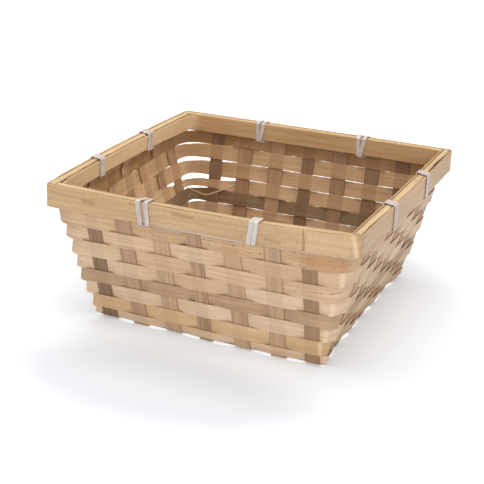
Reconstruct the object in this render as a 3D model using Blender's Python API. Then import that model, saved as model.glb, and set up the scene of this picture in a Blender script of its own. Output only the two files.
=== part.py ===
# Square berry basket, plaited from flat bamboo strips and bound with cane.
# Metres, +Z up, the origin on the floor under the middle of the base, the front wall towards -Y.
# Fourteen stakes cross in the base and stand up as the walls, nine weavers go round them,
# and two rim bands with four filler strips between them are lashed on with one cane strip.

import math

import bpy
import bmesh
import numpy as np
from mathutils.kdtree import KDTree

# Overall size
RIM_WIDTH = 0.280            # across the outer rim band, both ways
HEIGHT = 0.129               # floor to the top edge of the rim bands, half way back
RIM_FRONT_RISE = 0.0085      # front edge of the rim above its back edge
RIM_RIGHT_RISE = 0.0015      # right edge of the rim above its left edge
BASE_WIDTH = 0.214           # across the outer faces of the walls, taken down to the floor

# Stakes
STAKE_WIDTH = 0.0145
STAKE_THICKNESS = 0.0008
BASE_BEND_RADIUS = 0.0014    # middle of the stake where it turns up from the base
EDGE_MARGIN = 0.00375        # base edge to the nearest stake
FLAT_MARGIN = 0.0010         # straight run of a strip beyond the edge of the one it crosses

# Weavers
WEAVER_THICKNESS = 0.0007
CROSSING_CLEARANCE = 0.0003
FRONT_ROW_GAP = 0.0007
BACK_ROW_GAP = 0.0018

# Rim
OUTER_BAND_HEIGHT = 0.0203
OUTER_BAND_THICKNESS = 0.0013
INNER_BAND_HEIGHT = 0.0172
INNER_BAND_THICKNESS = 0.0011
INNER_BAND_CORNER_RADIUS = 0.0030
FILLER_WIDTH = 0.0070
FILLER_HEIGHT = 0.0042
FILLER_DROP = 0.0004         # top of the fillers below the top edges of the bands
SEAT_CLEARANCE = 0.0003
HIDDEN_ROW_SEAT = 0.0004     # bottom of the hidden row above the last pass of the cane under it
HIDDEN_ROW_DROP = 0.0004     # top of the hidden row below the tops of the stakes
OUTER_LAP_PLACE = 0.0940     # end of the outer band's lap, to the right of the middle
OUTER_LAP_LENGTH = 0.0240
INNER_LAP_PLACE = 0.0120
INNER_LAP_LENGTH = 0.0180
LAP_STEP = 0.0012            # length over which a band thins at its lap

# Cane binding
CANE_WIDTH = 0.0042
CANE_THICKNESS = 0.0009
CANE_CLEARANCE = 0.00045
CANE_TURN_MARGIN = 0.0005    # inside of the cane's turns in its own plane
CANE_TAIL = 0.0180           # length hidden behind the band at each end of the cane
CANE_SHOW = 0.0013           # how far the cane shows below the band along the front
CANE_TOP_LEAN = 0.0035       # how far a turn moves along as it crosses the top of the rim
LEAST_CANE_GAP = 0.0004
CANE_SAMPLE = 0.0004         # spacing of the points that the gap is measured on

# Shares of the stake pitch by which each front-to-back stake stands off its even place
FOOT_SHIFT_SHARES = (-0.03, -0.08, -0.07, -0.08, 0.02, 0.05, 0.02)
FRONT_SHIFT_SHARES = (-0.109, -0.206, -0.144, -0.169, -0.138, 0.028, 0.01)
BACK_SHIFT_SHARES = (-0.18, -0.21, -0.13, -0.07, -0.07, -0.02, -0.097)
# The same for the left-to-right stakes
SIDE_FOOT_SHIFT_SHARES = (0.0, -0.02, 0.02, 0.0, 0.0, 0.0, 0.0)
RIGHT_SHIFT_SHARES = (-0.05, 0.03, -0.04, 0.02, 0.04, 0.03, 0.0)
LEFT_SHIFT_SHARES = (0.0, -0.02, 0.03, 0.0, -0.02, 0.01, 0.0)
# Widths of the stakes as shares of the usual width
STAKE_WIDTH_SHARES = (0.93, 1.03, 1.06, 0.87, 1.03, 0.99, 0.93)
SIDE_STAKE_WIDTH_SHARES = (1.0, 0.97, 0.87, 1.06, 0.84, 1.03, 1.17)
# Heights of the joints between rows as shares of the wall's height below the outer band, half way back
ROW_JOINT_SHARES = (0.097, 0.226, 0.357, 0.474, 0.601, 0.740, 0.875)
# The rows' four corners, front left and then anticlockwise. Each is a curve whose handles lie along
# both walls: their length as a share of the room past the last stake, near 0.55 for a round corner
CORNER_FULLNESS_SHARES = (1.20, 0.50, 0.40, 0.60)
HIDDEN_ROW_FULLNESS_SHARE = 1.0
CORNER_LEAN_SHARES = (-0.14, 0.10, 0.10, -0.08)  # outward lean of the rows there, as run over rise
# The eight ties, anticlockwise from the front left: place in the room of the window between the stakes,
# from -1 at its start to 1 at its end, and how far apart the two turns show, in widths of the cane
TIE_PLACE_SHARES = (1.0, 0.38, 0.5, 0.8, 0.4, 0.6, 0.4, 0.6)
TIE_SPREAD_SHARES = (1.65, 1.12, 1.15, 1.15, 1.20, 1.15, 1.30, 1.15)

OUTER_BAND_CORNER_RADII = (0.0030, 0.0130, 0.0050, 0.0030)  # front left, then anticlockwise

SIDES = ("front", "right", "back", "left")
BEND_STEPS = 4
CORNER_STEPS = 7
ROUND_STEPS = 3
TURN_STEPS = 4
TIES_PER_SIDE = 2
ROW_COUNT = len(ROW_JOINT_SHARES) + 1
STAKE_COUNT = len(STAKE_WIDTH_SHARES)
QUARTER = math.pi / 2

# Worked out from the driving sizes
HALF_RIM = RIM_WIDTH / 2
BAND_BOTTOM = HEIGHT - OUTER_BAND_HEIGHT
BAND_INSIDE = HALF_RIM - OUTER_BAND_THICKNESS
FILLER_TOP = HEIGHT - FILLER_DROP
FILLER_BOTTOM = FILLER_TOP - FILLER_HEIGHT
FILLER_OUTSIDE = BAND_INSIDE - SEAT_CLEARANCE
FILLER_INSIDE = FILLER_OUTSIDE - FILLER_WIDTH
INNER_BAND_OUTSIDE = FILLER_INSIDE - SEAT_CLEARANCE
INNER_BAND_INSIDE = INNER_BAND_OUTSIDE - INNER_BAND_THICKNESS
INNER_BAND_BOTTOM = HEIGHT - INNER_BAND_HEIGHT
CANE_OUTSIDE_LANE = HALF_RIM + SEAT_CLEARANCE + CANE_THICKNESS / 2
CANE_INSIDE_LANE = INNER_BAND_INSIDE - SEAT_CLEARANCE - CANE_THICKNESS / 2
CANE_RUN_LANE = BAND_INSIDE - SEAT_CLEARANCE - CANE_THICKNESS / 2
WEAVE_OFFSET = (STAKE_THICKNESS + WEAVER_THICKNESS) / 2 + CROSSING_CLEARANCE
WEAVE_HALF = WEAVE_OFFSET + WEAVER_THICKNESS / 2
RIM_STAKE_LANE = CANE_RUN_LANE - CANE_THICKNESS / 2 - SEAT_CLEARANCE - WEAVE_HALF
FOOT_STAKE_LANE = BASE_WIDTH / 2 - STAKE_THICKNESS / 2
WALL_SLOPE = (RIM_STAKE_LANE - FOOT_STAKE_LANE) / BAND_BOTTOM      # run over rise
WALL_COSINE = 1 / math.hypot(1, WALL_SLOPE)
WALL_SINE = WALL_SLOPE * WALL_COSINE
STAKE_TOP = FILLER_BOTTOM - SEAT_CLEARANCE
STAKE_PITCH = (BASE_WIDTH - 2 * EDGE_MARGIN - STAKE_WIDTH) / (STAKE_COUNT - 1)
LOW_LEVEL = STAKE_THICKNESS / 2
HIGH_LEVEL = LOW_LEVEL + STAKE_THICKNESS + CROSSING_CLEARANCE
ROWS_BOTTOM = HIGH_LEVEL + BASE_BEND_RADIUS - (BASE_BEND_RADIUS - STAKE_THICKNESS / 2) * WALL_SINE

# Lanes of the cane below the rim: the first pass goes out under the outer band,
# the last pass crosses above it and comes up behind the band
TURN_RADIUS = CANE_WIDTH / 2 + CANE_TURN_MARGIN
WRAP_RADIUS = SEAT_CLEARANCE + CANE_THICKNESS / 2
HOOK_RADIUS = (CANE_OUTSIDE_LANE - CANE_RUN_LANE) / 2
RISE_RADIUS = CANE_THICKNESS / 2 + SEAT_CLEARANCE + CANE_CLEARANCE / 2
PASS_START = (INNER_BAND_OUTSIDE, INNER_BAND_BOTTOM - WRAP_RADIUS)
PASS_END = (BAND_INSIDE, BAND_BOTTOM - WRAP_RADIUS)
PASS_SLOPE = (PASS_END[1] - PASS_START[1]) / (PASS_END[0] - PASS_START[0])
PASS_HALF_HEIGHT = CANE_THICKNESS / 2 * math.hypot(1, PASS_SLOPE)
WEAVE_IN = RIM_STAKE_LANE - WEAVE_HALF
WEAVE_OUT = RIM_STAKE_LANE + WEAVE_HALF


def pass_height(lane):
    """Height of the middle of the cane's first pass at a distance from the basket's axis."""
    return PASS_START[1] + PASS_SLOPE * (lane - PASS_START[0])


LAST_PASS = (max(pass_height(WEAVE_IN), pass_height(WEAVE_OUT)) + PASS_HALF_HEIGHT
             + CANE_CLEARANCE + CANE_THICKNESS / 2)
ROWS_TOP = min(pass_height(WEAVE_IN), pass_height(WEAVE_OUT)) - PASS_HALF_HEIGHT - SEAT_CLEARANCE
HIDDEN_ROW_BOTTOM = LAST_PASS + CANE_THICKNESS / 2 + HIDDEN_ROW_SEAT
HIDDEN_ROW_TOP = STAKE_TOP - HIDDEN_ROW_DROP
RUN_LOW = BAND_BOTTOM - CANE_SHOW + CANE_WIDTH / 2
HOOK_CENTRE = BAND_BOTTOM - SEAT_CLEARANCE
RUN_ARRIVE = HOOK_CENTRE + TURN_RADIUS
RUN_LEAVE = LAST_PASS + RISE_RADIUS + TURN_RADIUS


def clear_scene():
    """Remove what the file holds already."""
    for thing in list(bpy.data.objects):
        bpy.data.objects.remove(thing, do_unlink=True)


def finish(name, colour, roughness):
    """A plain material in the photographed colour of one kind of strip."""
    material = bpy.data.materials.new(name)
    material.use_nodes = True
    shader = material.node_tree.nodes["Principled BSDF"]
    shader.inputs["Base Color"].default_value = (*colour, 1.0)
    shader.inputs["Roughness"].default_value = roughness
    shader.inputs["Metallic"].default_value = 0.0
    return material


def rim_rise(x, y):
    """How far the sloping rim stands above its middle height over a place in plan."""
    return (RIM_RIGHT_RISE * x - RIM_FRONT_RISE * y) / RIM_WIDTH


def settle(point):
    """Move a point drawn under a level rim to where it is under the sloping one.

    Nothing moves on the floor, the rim moves by its whole rise, and the walls stretch between."""
    x, y, height = point
    return x, y, height + rim_rise(x, y) * min(height / BAND_BOTTOM, 1)


def add_mesh(name, corners, faces, material):
    """One closed body from its corners and faces, with the faces turned outwards."""
    mesh = bpy.data.meshes.new(name)
    mesh.from_pydata([settle(point) for point in corners], [], faces)
    shape = bmesh.new()
    shape.from_mesh(mesh)
    bmesh.ops.recalc_face_normals(shape, faces=shape.faces)
    shape.to_mesh(mesh)
    shape.free()
    mesh.materials.append(material)
    body = bpy.data.objects.new(name, mesh)
    bpy.context.scene.collection.objects.link(body)
    return body


def add_strip(name, rings, material):
    """A strip with a four-cornered section: one ring of corners at each place along it."""
    rings = np.asarray(rings, float)
    count, sides = rings.shape[0], rings.shape[1]
    faces = [tuple(range(sides)), tuple(sides * (count - 1) + side for side in range(sides))]
    for ring in range(count - 1):
        here = sides * ring
        there = here + sides
        for side in range(sides):
            after = (side + 1) % sides
            faces.append((here + side, here + after, there + after, there + side))
    return add_mesh(name, rings.reshape(-1, 3), faces, material)


def section(middle, across, through, width, thickness):
    """Four corners of a strip's section round its middle."""
    middle, across, through = (np.asarray(vector, float) for vector in (middle, across, through))
    half_width = across * width / 2
    half_thickness = through * thickness / 2
    return [middle - half_width - half_thickness, middle + half_width - half_thickness,
            middle + half_width + half_thickness, middle - half_width + half_thickness]


def side_point(side, along, out, height):
    """World place of a point given along a side, out from the axis, and up."""
    turn = side * QUARTER
    cosine, sine = round(math.cos(turn)), round(math.sin(turn))
    return np.array((along * cosine + out * sine, along * sine - out * cosine, height), float)


def mix(first, second, share):
    """Value a share of the way from the first to the second."""
    return first + (second - first) * share


def wall_lane(height):
    """Distance of the stakes' middle from the axis at a height on the sloping wall."""
    return FOOT_STAKE_LANE + WALL_SLOPE * height


def offset_profile(points, thickness):
    """Both faces of a strip drawn as a line in its own plane, with the joints mitred."""
    points = np.asarray(points, float)
    steps = np.diff(points, axis=0)
    steps /= np.linalg.norm(steps, axis=1)[:, None]
    normals = np.stack((-steps[:, 1], steps[:, 0]), axis=1)
    before = np.vstack((normals[:1], normals))
    after = np.vstack((normals, normals[-1:]))
    mitre = before + after
    mitre *= (2 / (mitre * mitre).sum(axis=1))[:, None]
    return points - mitre * thickness / 2, points + mitre * thickness / 2


def stake_places(shift_shares):
    """Places of the stakes of one direction along their wall."""
    middle = (STAKE_COUNT - 1) / 2
    return [(number - middle + shift) * STAKE_PITCH for number, shift in enumerate(shift_shares)]


FOOT_PLACES = stake_places(FOOT_SHIFT_SHARES)
FRONT_PLACES = stake_places(FRONT_SHIFT_SHARES)
BACK_PLACES = stake_places(BACK_SHIFT_SHARES)
SIDE_FOOT_PLACES = stake_places(SIDE_FOOT_SHIFT_SHARES)
RIGHT_PLACES = stake_places(RIGHT_SHIFT_SHARES)
LEFT_PLACES = stake_places(LEFT_SHIFT_SHARES)
STAKE_WIDTHS = [STAKE_WIDTH * share for share in STAKE_WIDTH_SHARES]
SIDE_STAKE_WIDTHS = [STAKE_WIDTH * share for share in SIDE_STAKE_WIDTH_SHARES]


def foot_bend(level):
    """Arc from the base, at a level, up into the wall: run outwards and height of each point."""
    corner = wall_lane(level)
    turn = QUARTER - math.atan(WALL_SLOPE)
    start = corner - BASE_BEND_RADIUS * math.tan(turn / 2)
    return [(start + BASE_BEND_RADIUS * math.sin(turn * step / BEND_STEPS),
             level + BASE_BEND_RADIUS * (1 - math.cos(turn * step / BEND_STEPS)))
            for step in range(BEND_STEPS + 1)]


def stake_line(crossed_places, crossed_widths, over):
    """Middle line of a stake, down one wall, through the base and up the other wall."""
    levels = [HIGH_LEVEL if is_over else LOW_LEVEL for is_over in over]
    wall = [(RIM_STAKE_LANE, STAKE_TOP), (RIM_STAKE_LANE, BAND_BOTTOM)]
    points = [(-out, height) for out, height in wall]
    points += [(-out, height) for out, height in reversed(foot_bend(levels[0]))]
    for number, (place, width, level) in enumerate(zip(crossed_places, crossed_widths, levels)):
        reach = width / 2 + FLAT_MARGIN
        if number > 0:
            points.append((place - reach, level))
        if number < len(levels) - 1:
            points.append((place + reach, level))
    points += foot_bend(levels[-1])
    points += list(reversed(wall))
    return points


def stake_rings(line, width, foot, first_top, second_top, to_world):
    """Rings along a stake: its foot place in the base, splaying to its top places on the walls."""
    inner, outer = offset_profile(line, STAKE_THICKNESS)
    rings = []
    for low, high in zip(inner, outer):
        ring = []
        for (run, height), edge in ((low, -1), (low, 1), (high, 1), (high, -1)):
            top = first_top if run < 0 else second_top
            rise = max(height, 0) / STAKE_TOP if abs(run) > wall_lane(0) - STAKE_WIDTH else 0
            ring.append(to_world(mix(foot, top, rise) + edge * width / 2, run, height))
        rings.append(ring)
    return rings


def add_stakes(material, dark_material):
    """Seven stakes from front to back and seven from left to right, plain woven in the base."""
    for number in range(STAKE_COUNT):
        over = [(number + other) % 2 == 0 for other in range(STAKE_COUNT)]
        line = stake_line(SIDE_FOOT_PLACES, SIDE_STAKE_WIDTHS, over)
        rings = stake_rings(line, STAKE_WIDTHS[number], FOOT_PLACES[number],
                            FRONT_PLACES[number], BACK_PLACES[number],
                            lambda across, run, height: (across, run, height))
        add_strip(f"stake_front_back_{number + 1}", rings, dark_material if number == 0 else material)
    for number in range(STAKE_COUNT):
        over = [(number + other) % 2 == 1 for other in range(STAKE_COUNT)]
        line = stake_line(FOOT_PLACES, STAKE_WIDTHS, over)
        rings = stake_rings(line, SIDE_STAKE_WIDTHS[number], SIDE_FOOT_PLACES[number],
                            LEFT_PLACES[number], RIGHT_PLACES[number],
                            lambda across, run, height: (run, across, height))
        add_strip(f"stake_left_right_{number + 1}", rings, material)


def side_stakes(side, height):
    """Places, widths and numbers of the stakes on one side at a height, in the weaving order."""
    foot, top, widths = ((FOOT_PLACES, FRONT_PLACES, STAKE_WIDTHS),
                         (SIDE_FOOT_PLACES, RIGHT_PLACES, SIDE_STAKE_WIDTHS),
                         (FOOT_PLACES, BACK_PLACES, STAKE_WIDTHS),
                         (SIDE_FOOT_PLACES, LEFT_PLACES, SIDE_STAKE_WIDTHS))[side]
    stakes = [(mix(foot[number], top[number], height / STAKE_TOP), widths[number], number + 1)
              for number in range(STAKE_COUNT)]
    if side >= 2:
        stakes = [(-place, width, number) for place, width, number in reversed(stakes)]
    return stakes


def row_edges(row, x, y):
    """Lower and upper edge of a row over a place in plan, before the rim is sloped.

    The joints between rows are level once it is; the upper edge of the top row follows the rim."""
    if row == 0:
        return HIDDEN_ROW_BOTTOM, HIDDEN_ROW_TOP
    level = BAND_BOTTOM ** 2 / (BAND_BOTTOM + rim_rise(x, y))
    half_gap = mix(FRONT_ROW_GAP, BACK_ROW_GAP, y / RIM_WIDTH + 1 / 2) / 2
    place = ROW_COUNT - row
    lower = ROW_JOINT_SHARES[place - 1] * level + half_gap if place > 0 else ROWS_BOTTOM
    upper = ROW_JOINT_SHARES[place] * level - half_gap if place < ROW_COUNT - 1 else ROWS_TOP
    return lower, upper


def passes_outside(row, side, number):
    """Whether a row runs outside a stake, so that rows and corners keep alternating."""
    return (row + number + side) % 2 == 0


def corner_curve(start, stop, fullness, share):
    """Place and way, a share of the way round a corner from one wall's line to the next wall's."""
    first = (mix(start[0], stop[0], fullness), start[1])
    second = (stop[0], mix(stop[1], start[1], fullness))
    rest = 1 - share
    place = [rest ** 3 * a + 3 * rest ** 2 * share * b + 3 * rest * share ** 2 * c + share ** 3 * d
             for a, b, c, d in zip(start, first, second, stop)]
    way = [rest ** 2 * (b - a) + 2 * rest * share * (c - b) + share ** 2 * (d - c)
           for a, b, c, d in zip(start, first, second, stop)]
    return place, way


def row_path(row):
    """Plan places of a row, once round: side, along, out, angle round the corner, stake crossed."""
    slope = 0 if row == 0 else WALL_SLOPE
    spread = WEAVE_OFFSET * math.hypot(1, slope)
    middle_height = sum(row_edges(row, 0, 0)) / 2
    middle_lane = RIM_STAKE_LANE if row == 0 else wall_lane(middle_height)

    def lane(side, along):
        x, y, _ = side_point(side, along, middle_lane, 0)
        return RIM_STAKE_LANE if row == 0 else wall_lane(sum(row_edges(row, x, y)) / 2)

    sides = []
    for side in range(len(SIDES)):
        x, y, _ = side_point(side, 0, middle_lane, 0)
        height = sum(row_edges(row, x, y)) / 2
        sides.append([(place, width / 2 + FLAT_MARGIN,
                       spread if passes_outside(row, side, number) else -spread, number)
                      for place, width, number in side_stakes(side, height)])
    path = []
    for side, crossings in enumerate(sides):
        for place, reach, offset, number in crossings:
            for along in (place - reach, place + reach):
                path.append((side, along, lane(side, along) + offset, 0.0, number))
        turning = (side + 1) % len(SIDES)
        last_place, last_reach, last_offset, _ = crossings[-1]
        next_place, next_reach, next_offset, _ = sides[turning][0]
        corner = lane(side, middle_lane)
        start = (last_place + last_reach, corner + last_offset)
        stop = (corner + next_offset, next_reach - next_place)
        fullness = CORNER_FULLNESS_SHARES[turning] if row else HIDDEN_ROW_FULLNESS_SHARE
        for step in range(1, CORNER_STEPS):
            (along, out), (along_way, out_way) = corner_curve(start, stop, fullness, step / CORNER_STEPS)
            path.append((side, along, out, math.atan2(-out_way, along_way), 0))
    return path


def row_ring(row, side, along, out, angle, through_offset=0.0):
    """Section of a row at one place: it leans with the wall and stands up at the corners."""
    middle = side_point(side, along, out, 0)
    turn = side * QUARTER - QUARTER + angle
    outward = np.array((math.cos(turn), math.sin(turn), 0))
    lower, upper = row_edges(row, middle[0], middle[1])
    corner_lean = CORNER_LEAN_SHARES[(side + 1) % len(SIDES)]
    lean = 0 if row == 0 else mix(WALL_SLOPE, corner_lean, math.sin(2 * angle))
    cosine = 1 if row == 0 else WALL_COSINE
    across = np.array((0, 0, 1)) + outward * lean
    across /= np.linalg.norm(across)
    through = outward - np.array((0, 0, lean))
    through /= np.linalg.norm(through)
    middle[2] = (lower + upper) / 2
    middle += through * through_offset
    return section(middle, across, through, (upper - lower) / cosine, WEAVER_THICKNESS)


def add_weavers(materials):
    """Nine rows. Each is one strip that starts and ends on the same front stake, inside, lapped."""
    for row in range(ROW_COUNT + 1):
        path = row_path(row)
        middle_stake = (STAKE_COUNT + 1) // 2
        inside = [number for number in (middle_stake, middle_stake + 1) if not passes_outside(row, 0, number)]
        start = next(place for place, point in enumerate(path) if point[0] == 0 and point[4] == inside[0])
        turned = path[start:] + path[:start + 2]
        last = len(turned) - 2
        lap = -WEAVER_THICKNESS - CROSSING_CLEARANCE
        rings = [row_ring(row, side, along, out, angle, lap if place >= last else 0.0)
                 for place, (side, along, out, angle, _) in enumerate(turned)]
        name = f"weaver_row_{row}" if row else "weaver_under_rim"
        add_strip(name, rings, materials.get(row, materials["plain"]))


def band_plan(half, radii):
    """Outline of a band in plan: side, place along and out, outward angle, once round from the front."""
    plan = []
    for side in range(len(SIDES)):
        radius = radii[(side + 1) % len(SIDES)]
        for step in range(CORNER_STEPS + 1):
            angle = QUARTER * step / CORNER_STEPS
            along = half - radius * (1 - math.sin(angle))
            out = half - radius * (1 - math.cos(angle))
            plan.append((side, along, out, angle))
    return plan


def add_band(name, half, thickness, radii, bottom, lap_place, lap_length, material):
    """A rim band whose ends are thinned and lapped on the front: one outer face all the way round."""
    layer = (thickness - SEAT_CLEARANCE) / 2
    lap_start = lap_place - lap_length
    whole, under, upper = (0, thickness), (layer + SEAT_CLEARANCE, thickness), (0, layer)
    stations = [(0, lap_start, half, 0.0, under),
                (0, lap_place + SEAT_CLEARANCE, half, 0.0, under),
                (0, lap_place + SEAT_CLEARANCE + LAP_STEP, half, 0.0, whole)]
    stations += [(*place, whole) for place in band_plan(half, radii)]
    stations += [(0, lap_start - SEAT_CLEARANCE - LAP_STEP, half, 0.0, whole),
                 (0, lap_start - SEAT_CLEARANCE, half, 0.0, upper),
                 (0, lap_place, half, 0.0, upper)]
    rings = []
    for side, along, out, angle, (near, far) in stations:
        face = side_point(side, along, out, 0)
        turn = side * QUARTER - QUARTER + angle
        inward = -np.array((math.cos(turn), math.sin(turn), 0))
        rings.append([face + inward * depth + np.array((0, 0, height))
                      for depth, height in ((far, bottom), (near, bottom), (near, HEIGHT), (far, HEIGHT))])
    return add_strip(name, rings, material)


def add_fillers(material):
    """Four straight strips between the bands. Each butts on the next one's side, and its ends
    are cut off to clear the rounded corners of the outer band."""
    start = SEAT_CLEARANCE - FILLER_INSIDE
    for side, label in enumerate(SIDES):
        outline = []
        for end, corner in ((-1, side), (1, (side + 1) % len(SIDES))):
            centre = BAND_INSIDE - (OUTER_BAND_CORNER_RADII[corner] - OUTER_BAND_THICKNESS)
            radius = FILLER_OUTSIDE - centre
            last = -start if end < 0 else FILLER_OUTSIDE
            inside_reach = centre + math.sqrt(radius ** 2 - max(FILLER_INSIDE - centre, 0) ** 2)
            reach = min(last, inside_reach)
            places = [(end * reach, FILLER_INSIDE)]
            if centre < last:
                side_reach = centre + math.sqrt(radius ** 2 - max(reach - centre, 0) ** 2)
                if side_reach > FILLER_INSIDE + SEAT_CLEARANCE:
                    places.append((end * reach, max(side_reach, centre)))
                places.append((end * centre, FILLER_OUTSIDE))
            else:
                places.append((end * last, FILLER_OUTSIDE))
            outline += places[::-1] if end < 0 else places
        rings = [[side_point(side, along, out, height) for along, out in outline]
                 for height in (FILLER_BOTTOM, FILLER_TOP)]
        add_strip(f"rim_filler_{label}", rings, material)


def arc(centre, radius, first, last, steps):
    """Points of an arc in the plane of the rim's section, with the way along it, in order."""
    points = []
    for step in range(steps + 1):
        angle = mix(first, last, step / steps)
        way = 1 if last > first else -1
        points.append(((centre[0] + radius * math.cos(angle), centre[1] + radius * math.sin(angle)),
                       (-way * math.sin(angle), way * math.cos(angle))))
    return points


def tie_windows(side):
    """The two windows between stakes that the ties of a side go through."""
    stakes = side_stakes(side, BAND_BOTTOM)
    quarter = (STAKE_COUNT + 1) // 4
    for number in (quarter - 1, STAKE_COUNT - quarter - 1):
        left_place, left_width, _ = stakes[number]
        right_place, right_width, _ = stakes[number + 1]
        yield left_place + left_width / 2, right_place - right_width / 2


def tie_stations(window, place_share, spread):
    """One tie of two turns: middle, way and flatness of the cane at each station.

    The cane drops behind the outer band, hooks out under it and goes up, over and down,
    out under the band again, and once more over and down, and comes up behind the band.
    A station is along, out, height, the way of the cane and the direction across it.
    """
    left, right = window
    room = (right - left) / 2 - CANE_WIDTH - CANE_CLEARANCE - SEAT_CLEARANCE
    second = (left + right) / 2 + (CANE_WIDTH + CANE_CLEARANCE) / 2 + room * place_share
    first = second - spread
    inner_first = second - CANE_WIDTH - CANE_CLEARANCE
    stations = []

    def add(along, point, way):
        stations.append((along, point[0], point[1], (0, way[0], way[1]), (1, 0, 0)))

    for step in range(TURN_STEPS + 1):
        angle = QUARTER * step / TURN_STEPS
        stations.append((first - TURN_RADIUS * (1 - math.sin(angle)), CANE_RUN_LANE,
                         RUN_ARRIVE - TURN_RADIUS * (1 - math.cos(angle)),
                         (math.cos(angle), 0, -math.sin(angle)), (math.sin(angle), 0, math.cos(angle))))
    hook = ((CANE_RUN_LANE + CANE_OUTSIDE_LANE) / 2, HOOK_CENTRE)
    for point, way in arc(hook, HOOK_RADIUS, -math.pi, 0, TURN_STEPS)[1:]:
        add(first, point, way)
    outer_top = (HALF_RIM, HEIGHT)
    inner_top = (INNER_BAND_INSIDE, HEIGHT)
    inner_foot = (INNER_BAND_INSIDE, INNER_BAND_BOTTOM)
    outer_foot = (HALF_RIM, BAND_BOTTOM)
    pass_way = (1 / math.hypot(1, PASS_SLOPE), PASS_SLOPE / math.hypot(1, PASS_SLOPE))
    for strand, inner, is_last in ((first, inner_first, False), (second, second, True)):
        over = strand + CANE_TOP_LEAN
        for point, way in arc(outer_top, WRAP_RADIUS, 0, QUARTER, ROUND_STEPS):
            add(strand, point, way)
        for point, way in arc(inner_top, WRAP_RADIUS, QUARTER, math.pi, ROUND_STEPS):
            add(over, point, way)
        for point, way in arc(inner_foot, WRAP_RADIUS, math.pi, math.pi + QUARTER, ROUND_STEPS):
            add(inner, point, way)
        if is_last:
            break
        add(inner, PASS_START, pass_way)
        add(inner, (WEAVE_IN - CANE_CLEARANCE, pass_height(WEAVE_IN - CANE_CLEARANCE)), pass_way)
        add(second, (WEAVE_OUT, pass_height(WEAVE_OUT)), pass_way)
        add(second, PASS_END, (1, 0))
        for point, way in arc(outer_foot, WRAP_RADIUS, -QUARTER, 0, ROUND_STEPS):
            add(second, point, way)
    add(second, PASS_START, (1, 0))
    add(second, (WEAVE_IN - CANE_CLEARANCE, LAST_PASS), (1, 0))
    rise = (CANE_RUN_LANE - RISE_RADIUS, LAST_PASS + RISE_RADIUS)
    for point, way in arc(rise, RISE_RADIUS, -QUARTER, 0, ROUND_STEPS):
        add(second, point, way)
    for step in range(1, TURN_STEPS + 1):
        angle = QUARTER * step / TURN_STEPS
        stations.append((second + TURN_RADIUS * (1 - math.cos(angle)), CANE_RUN_LANE,
                         rise[1] + TURN_RADIUS * math.sin(angle),
                         (math.sin(angle), 0, math.cos(angle)), (math.cos(angle), 0, -math.sin(angle))))
    return stations


def run_station(along, out, height, way):
    """A station of the cane's run on edge behind the band."""
    return (along, out, height, way, (0, 0, 1))


def binding_stations():
    """The whole cane, anticlockwise from the front left: eight ties and the runs between them."""
    route = []
    turned = False
    for side in range(len(SIDES)):
        windows = list(tie_windows(side))
        for number, window in enumerate(windows):
            order = side * TIES_PER_SIDE + number
            tie = tie_stations(window, TIE_PLACE_SHARES[order], CANE_WIDTH * TIE_SPREAD_SHARES[order])
            if not route:
                route.append((side, turned, run_station(tie[0][0] - CANE_TAIL, CANE_RUN_LANE, RUN_ARRIVE,
                                                        (1, 0, 0))))
            elif side == 0:
                before = route[-1][2][0]
                for along in (before + 2 * CANE_WIDTH, tie[0][0] - 2 * CANE_WIDTH):
                    route.append((side, turned, run_station(along, CANE_RUN_LANE, RUN_LOW, (1, 0, 0))))
            route += [(side, turned, station) for station in tie]
            turned = not turned
        leave = route[-1][2][0]
        if side == len(SIDES) - 1:
            route.append((side, turned, run_station(leave + CANE_TAIL, CANE_RUN_LANE, RUN_LEAVE,
                                                    (1, 0, 0))))
            break
        height = RUN_LOW if side == 0 else RUN_LEAVE
        radius = OUTER_BAND_CORNER_RADII[side + 1] - (HALF_RIM - CANE_RUN_LANE)
        if side == 0:
            for along in (leave + 2 * CANE_WIDTH, CANE_RUN_LANE - radius - CANE_WIDTH):
                route.append((side, turned, run_station(along, CANE_RUN_LANE, RUN_LOW, (1, 0, 0))))
        for step in range(ROUND_STEPS + 1):
            angle = QUARTER * step / ROUND_STEPS
            along = CANE_RUN_LANE - radius * (1 - math.sin(angle))
            out = CANE_RUN_LANE - radius * (1 - math.cos(angle))
            way = (math.cos(angle), -math.sin(angle), 0)
            route.append((side, turned, run_station(along, out, height, way)))
    return route


def cane_frames(route):
    """Middle, direction across and direction through the cane at each station, in the world."""
    frames = []
    for side, turned, (along, out, height, way, across) in route:
        flip = -1 if turned else 1
        origin = side_point(side, 0, 0, 0)
        middle = side_point(side, along, out, height)
        way = side_point(side, *way) - origin
        across = side_point(side, *across) - origin
        through = np.cross(way, across)
        through /= np.linalg.norm(through)
        frames.append((middle, across * flip, through * flip))
    return frames


def least_cane_gap(frames):
    """Least gap of the cane to itself, measured between points spread over its faces."""
    lengths = [0.0]
    for (before, _, _), (after, _, _) in zip(frames, frames[1:]):
        lengths.append(lengths[-1] + float(np.linalg.norm(after - before)))
    points = []
    for place in range(len(frames) - 1):
        stretch = lengths[place + 1] - lengths[place]
        count = max(1, math.ceil(stretch / CANE_SAMPLE))
        for step in range(count):
            share = step / count
            middle, across, through = (mix(first, second, share)
                                       for first, second in zip(frames[place], frames[place + 1]))
            for part in np.linspace(-1, 1, 2 * round(CANE_WIDTH / CANE_SAMPLE / 2) + 1):
                for face in (-1, 1):
                    point = middle + across * part * CANE_WIDTH / 2 + through * face * CANE_THICKNESS / 2
                    points.append((lengths[place] + stretch * share, np.array(settle(point))))
    tree = KDTree(len(points))
    for number, (_, point) in enumerate(points):
        tree.insert(point, number)
    tree.balance()
    apart = 2 * CANE_WIDTH
    least = apart
    for length, point in points:
        for _, other, distance in tree.find_range(point, 2 * CANE_CLEARANCE):
            if abs(points[other][0] - length) > apart:
                least = min(least, distance)
    return least


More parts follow.
